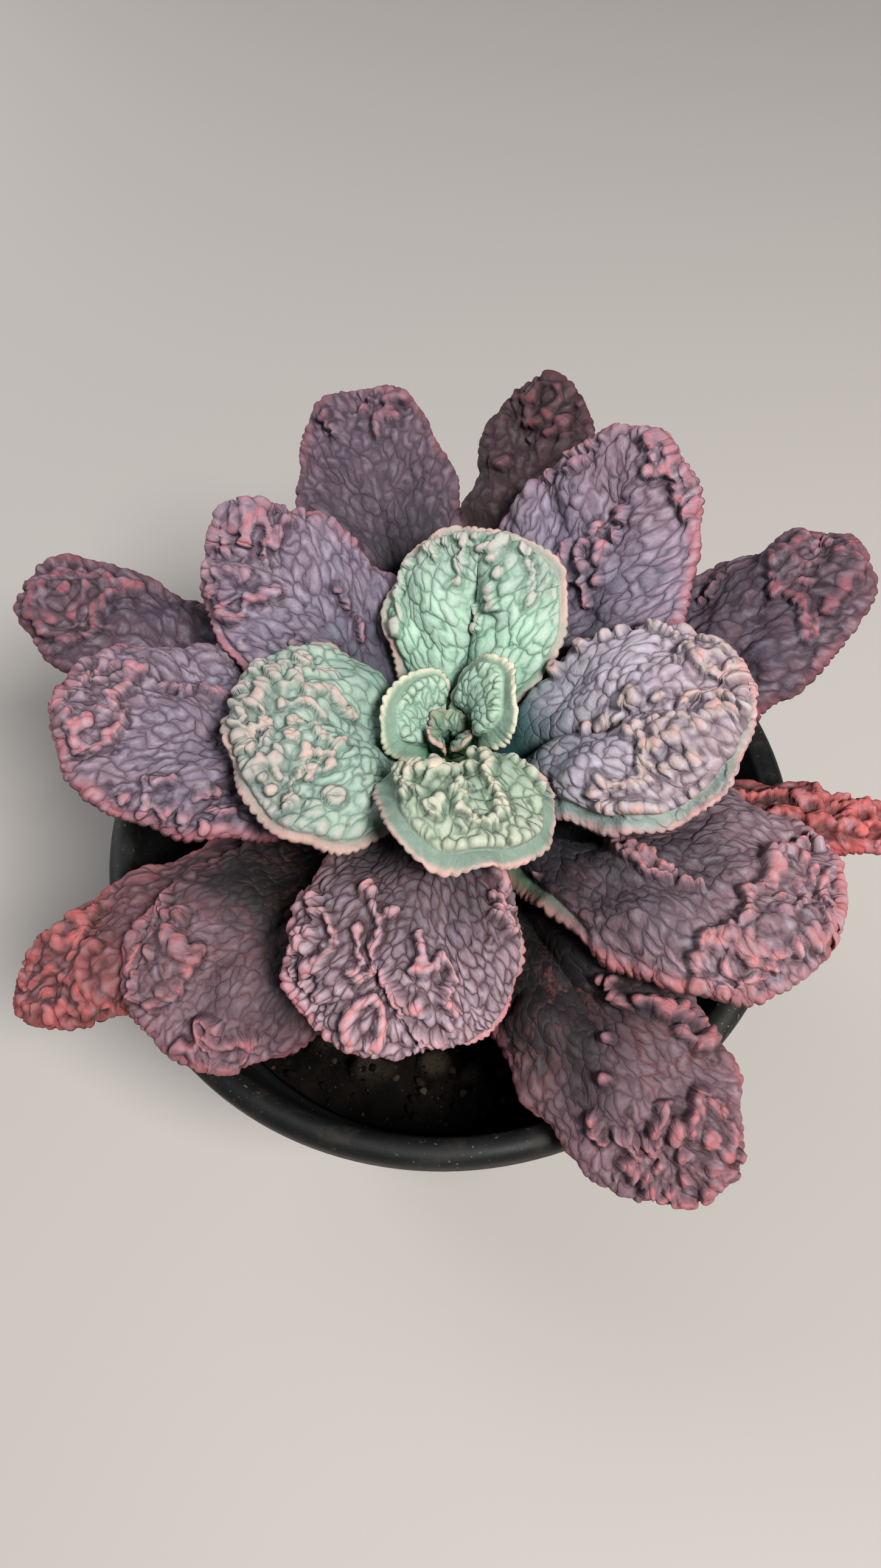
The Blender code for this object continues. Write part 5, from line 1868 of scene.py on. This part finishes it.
def grit_tree():
    """Geometry Nodes that crumble the soil's top and strew grains over it."""
    board = new_tree("soil_grit", {"Grains per square metre": 90000.0, "Crumb height": 0.0012,
                                   "Seed": 7}, "Ground")
    density, crumb_height = given(board, "Grains per square metre"), given(board, "Crumb height")
    seed = given(board, "Seed")

    place = board.add("GeometryNodeInputPosition")
    loose = named(board, "loose")
    crumbs = board.noise(place, 420.0, 3.0, 0.6) + board.noise(place, 150.0, 1.0) - 1.0
    crumbs = crumbs * crumb_height * loose * (2.0 - named(board, "stone") * 1.7)
    raised = board.add("ShaderNodeCombineXYZ", None, {"Z": crumbs})
    ground = board.add("GeometryNodeSetPosition", None,
                       {"Geometry": given(board, "Geometry"), "Offset": raised})

    points = board.add("GeometryNodeDistributePointsOnFaces", {"distribute_method": "RANDOM"},
                       {"Mesh": ground, "Seed": seed,
                        "Density": density * loose * (1.0 - named(board, "stone") * 0.8)})
    ball = board.add("GeometryNodeMeshIcoSphere", None,
                     {"Radius": GRAIN_RADIUS, "Subdivisions": 1}, "Mesh")
    dent = board.noise(board.add("GeometryNodeInputPosition"), 900.0, 1.0) - 0.5
    normal = board.add("GeometryNodeInputNormal")
    rough_ball = board.add("GeometryNodeSetPosition", None,
                           {"Geometry": ball, "Offset": board.scaled(normal, dent * GRAIN_DENT)})
    turn = random_value(board, (0.0, 0.0, 0.0), (FULL_TURN, FULL_TURN, FULL_TURN), seed)
    size = random_value(board, 0.0, 1.0, seed + 1)
    flat = random_value(board, (0.7, 0.6, 0.5), (1.3, 1.1, 0.9), seed + 2)
    grains = board.add("GeometryNodeInstanceOnPoints", None,
                       {"Points": points, "Instance": rough_ball, "Rotation": turn,
                        "Scale": board.scaled(flat, size ** 6 * 2.0 + size * 0.5 + 0.3)})
    tone = random_value(board, 0.15, 1.0, seed + 3)
    toned = keep(board, grains, "grain", tone, "INSTANCE")
    joined = board.add("GeometryNodeJoinGeometry", None, {"Geometry": [toned, ground]})
    return end_tree(board, joined, "Ground")


print("the grit tree has inputs for its density, its crumbs and its seed")

# %% Earth
# The earth's colours are its own damp dark brown, darkened further as painted shade from the leaves
# over it
EARTH = paint(5, 4, 3)
EARTH_DRY = paint(17, 12, 10)
GRAIN_DARK = paint(9, 7, 6)
GRAIN_PALE = paint(58, 48, 40)
STONE = paint(76, 65, 54)


def earth():
    made, shader, board = new_material("earth", 0.95, 0.06)
    place = board.add("ShaderNodeTexCoord", None, None, "Object")
    cloud = board.noise(place, 60.0, 4.0, 0.6)
    fine = board.noise(place, 1500.0, 4.0, 0.7)
    grain = read(board, "grain")
    colour = board.blend(board.step(cloud * 0.6 + fine * 0.5, 0.45, 0.70), EARTH, EARTH_DRY)
    pale = board.blend(grain ** 7, GRAIN_DARK, GRAIN_PALE)
    dusty = read(board, "stone") ** 1.5 * board.step(fine + cloud, 0.70, 1.20)
    colour = board.blend(dusty, colour, STONE)
    colour = board.blend(board.step(grain, 0.01, 0.10), colour, pale)
    end_material(shader, board, colour, fine * 0.3 + 0.75, fine * 0.5 + cloud, 1.0, 0.0012)
    return made


print("dry earth is", [round(c, 3) for c in EARTH_DRY[:3]])

# %% Make the soil
GRAINS_PER_SQUARE_METRE = 110000.0
CRUMB_HEIGHT = 0.0024
GRIT_SEED = 7

soil = make_object("soil_ground", *soil_shell())
apply_tree(soil, grit_tree(), {"Grains per square metre": GRAINS_PER_SQUARE_METRE,
                               "Crumb height": CRUMB_HEIGHT, "Seed": GRIT_SEED,
                               "Ground": earth()})
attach(soil, "root")
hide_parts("soil")
print("soil and grit have", len(soil.data.polygons), "faces")

# %% [markdown]
# ## The stem
#
# Hardly any of the stem shows, but it carries every leaf. It is turned like the pot, and ringed
# with low scars where older leaves have dropped.

# %% Make the stem
STEM_SIDES = 72
STEM_RINGS = 110
SCAR_DEPTH = 0.045               # in shares of the stem's radius
SCARS_END = 0.158                # height from which on the stem is smooth


def scarred_stem():
    heights = np.linspace(STEM_FOOT, STEM_TOP, STEM_RINGS)
    rings = [(0.0, STEM_FOOT)] + [(float(stem_radius(z)), z) for z in heights] + [(0.0, STEM_TOP)]
    corners, faces = turned(rings, STEM_SIDES, tuple(PLANT[:2]))
    out = corners[:, :2] - PLANT[:2]
    turn = np.arctan2(out[:, 1], out[:, 0])
    scars = np.abs(np.sin(corners[:, 2] * 620 + 2.4 * np.sin(2 * turn))) ** 6
    low_down = soft_step((SCARS_END - corners[:, 2]) / 0.006)
    corners[:, :2] = PLANT[:2] + out * (1 - SCAR_DEPTH * (scars * low_down)[:, None])
    return corners, faces


def bark():
    made, shader, board = new_material("stem_bark", 0.85, 0.25)
    place = board.add("ShaderNodeTexCoord", None, None, "Object")
    cloud = board.noise(place, 160.0, 3.0)
    fine = board.noise(place, 1400.0, 3.0, 0.6)
    tall = board.add("ShaderNodeSeparateXYZ", None, {"Vector": place}, "Z")
    green = board.step(tall + (cloud - 0.5) * 0.02, 0.135, 0.160)
    colour = board.blend(green, paint(74, 58, 48), paint(92, 122, 88))
    colour = board.blend(fine * 0.5, colour, paint(44, 36, 32))
    end_material(shader, board, colour, None, fine, 0.5, 0.0005)
    return made


stem = make_object("stem_scarred", *scarred_stem())
stem.data.materials.append(bark())
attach(stem, "root")
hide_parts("stem")
print("the stem has", len(stem.data.polygons), "faces")

# %% [markdown]
# ## Light and floor
#
# A plain pale floor, a large soft light from the front and the right, and two weaker ones from
# behind, a high one and a low one, over a pale sky.

# %% The floor
FLOOR_REACH = 3
FLOOR_COLOUR = (0.375, 0.350, 0.330, 1.0)


def make_floor():
    low, high = -FLOOR_REACH, FLOOR_REACH
    corners = [(low, low, 0), (high, low, 0), (high, high, 0), (low, high, 0)]
    body = make_object("floor", corners, [(0, 1, 2, 3)])
    made, shader, _ = new_material("floor", 0.8, 0.3)
    shader.inputs["Base Color"].default_value = FLOOR_COLOUR
    body.data.materials.append(made)


make_floor()
print("the floor reaches", FLOOR_REACH, "m each way")

# %% The lights
AIM = (0.0, 0.0, 0.15)
SKY_COLOUR = (0.90, 0.94, 1.0, 1.0)


def soft_light(name, place, size, power, tint):
    lamp = bpy.data.lights.new(name, "AREA")
    lamp.shape = "DISK"
    lamp.size = size
    lamp.energy = power
    lamp.color = tint
    body = bpy.data.objects.new(name, lamp)
    turn = (Vector(AIM) - Vector(place)).to_track_quat("-Z", "Y")
    body.matrix_world = Matrix.Translation(place) @ turn.to_matrix().to_4x4()
    bpy.context.scene.collection.objects.link(body)


def sky(strength):
    world = bpy.data.worlds.new("sky")
    bpy.context.scene.world = world
    world.use_nodes = True
    back = world.node_tree.nodes["Background"]
    back.inputs["Color"].default_value = SKY_COLOUR
    back.inputs["Strength"].default_value = strength


soft_light("window", (0.46, -0.62, 1.20), 0.40, 32.0, (1.0, 0.98, 0.95))
soft_light("fill", (-0.7, 0.6, 1.3), 0.9, 7.0, (0.95, 0.97, 1.0))
soft_light("low_fill", (-0.75, 0.85, 0.34), 0.7, 4.5, (0.97, 0.98, 1.0))
sky(0.14)
bpy.context.scene.view_settings.view_transform = "Standard"
print("one window light, two fills and a pale sky")
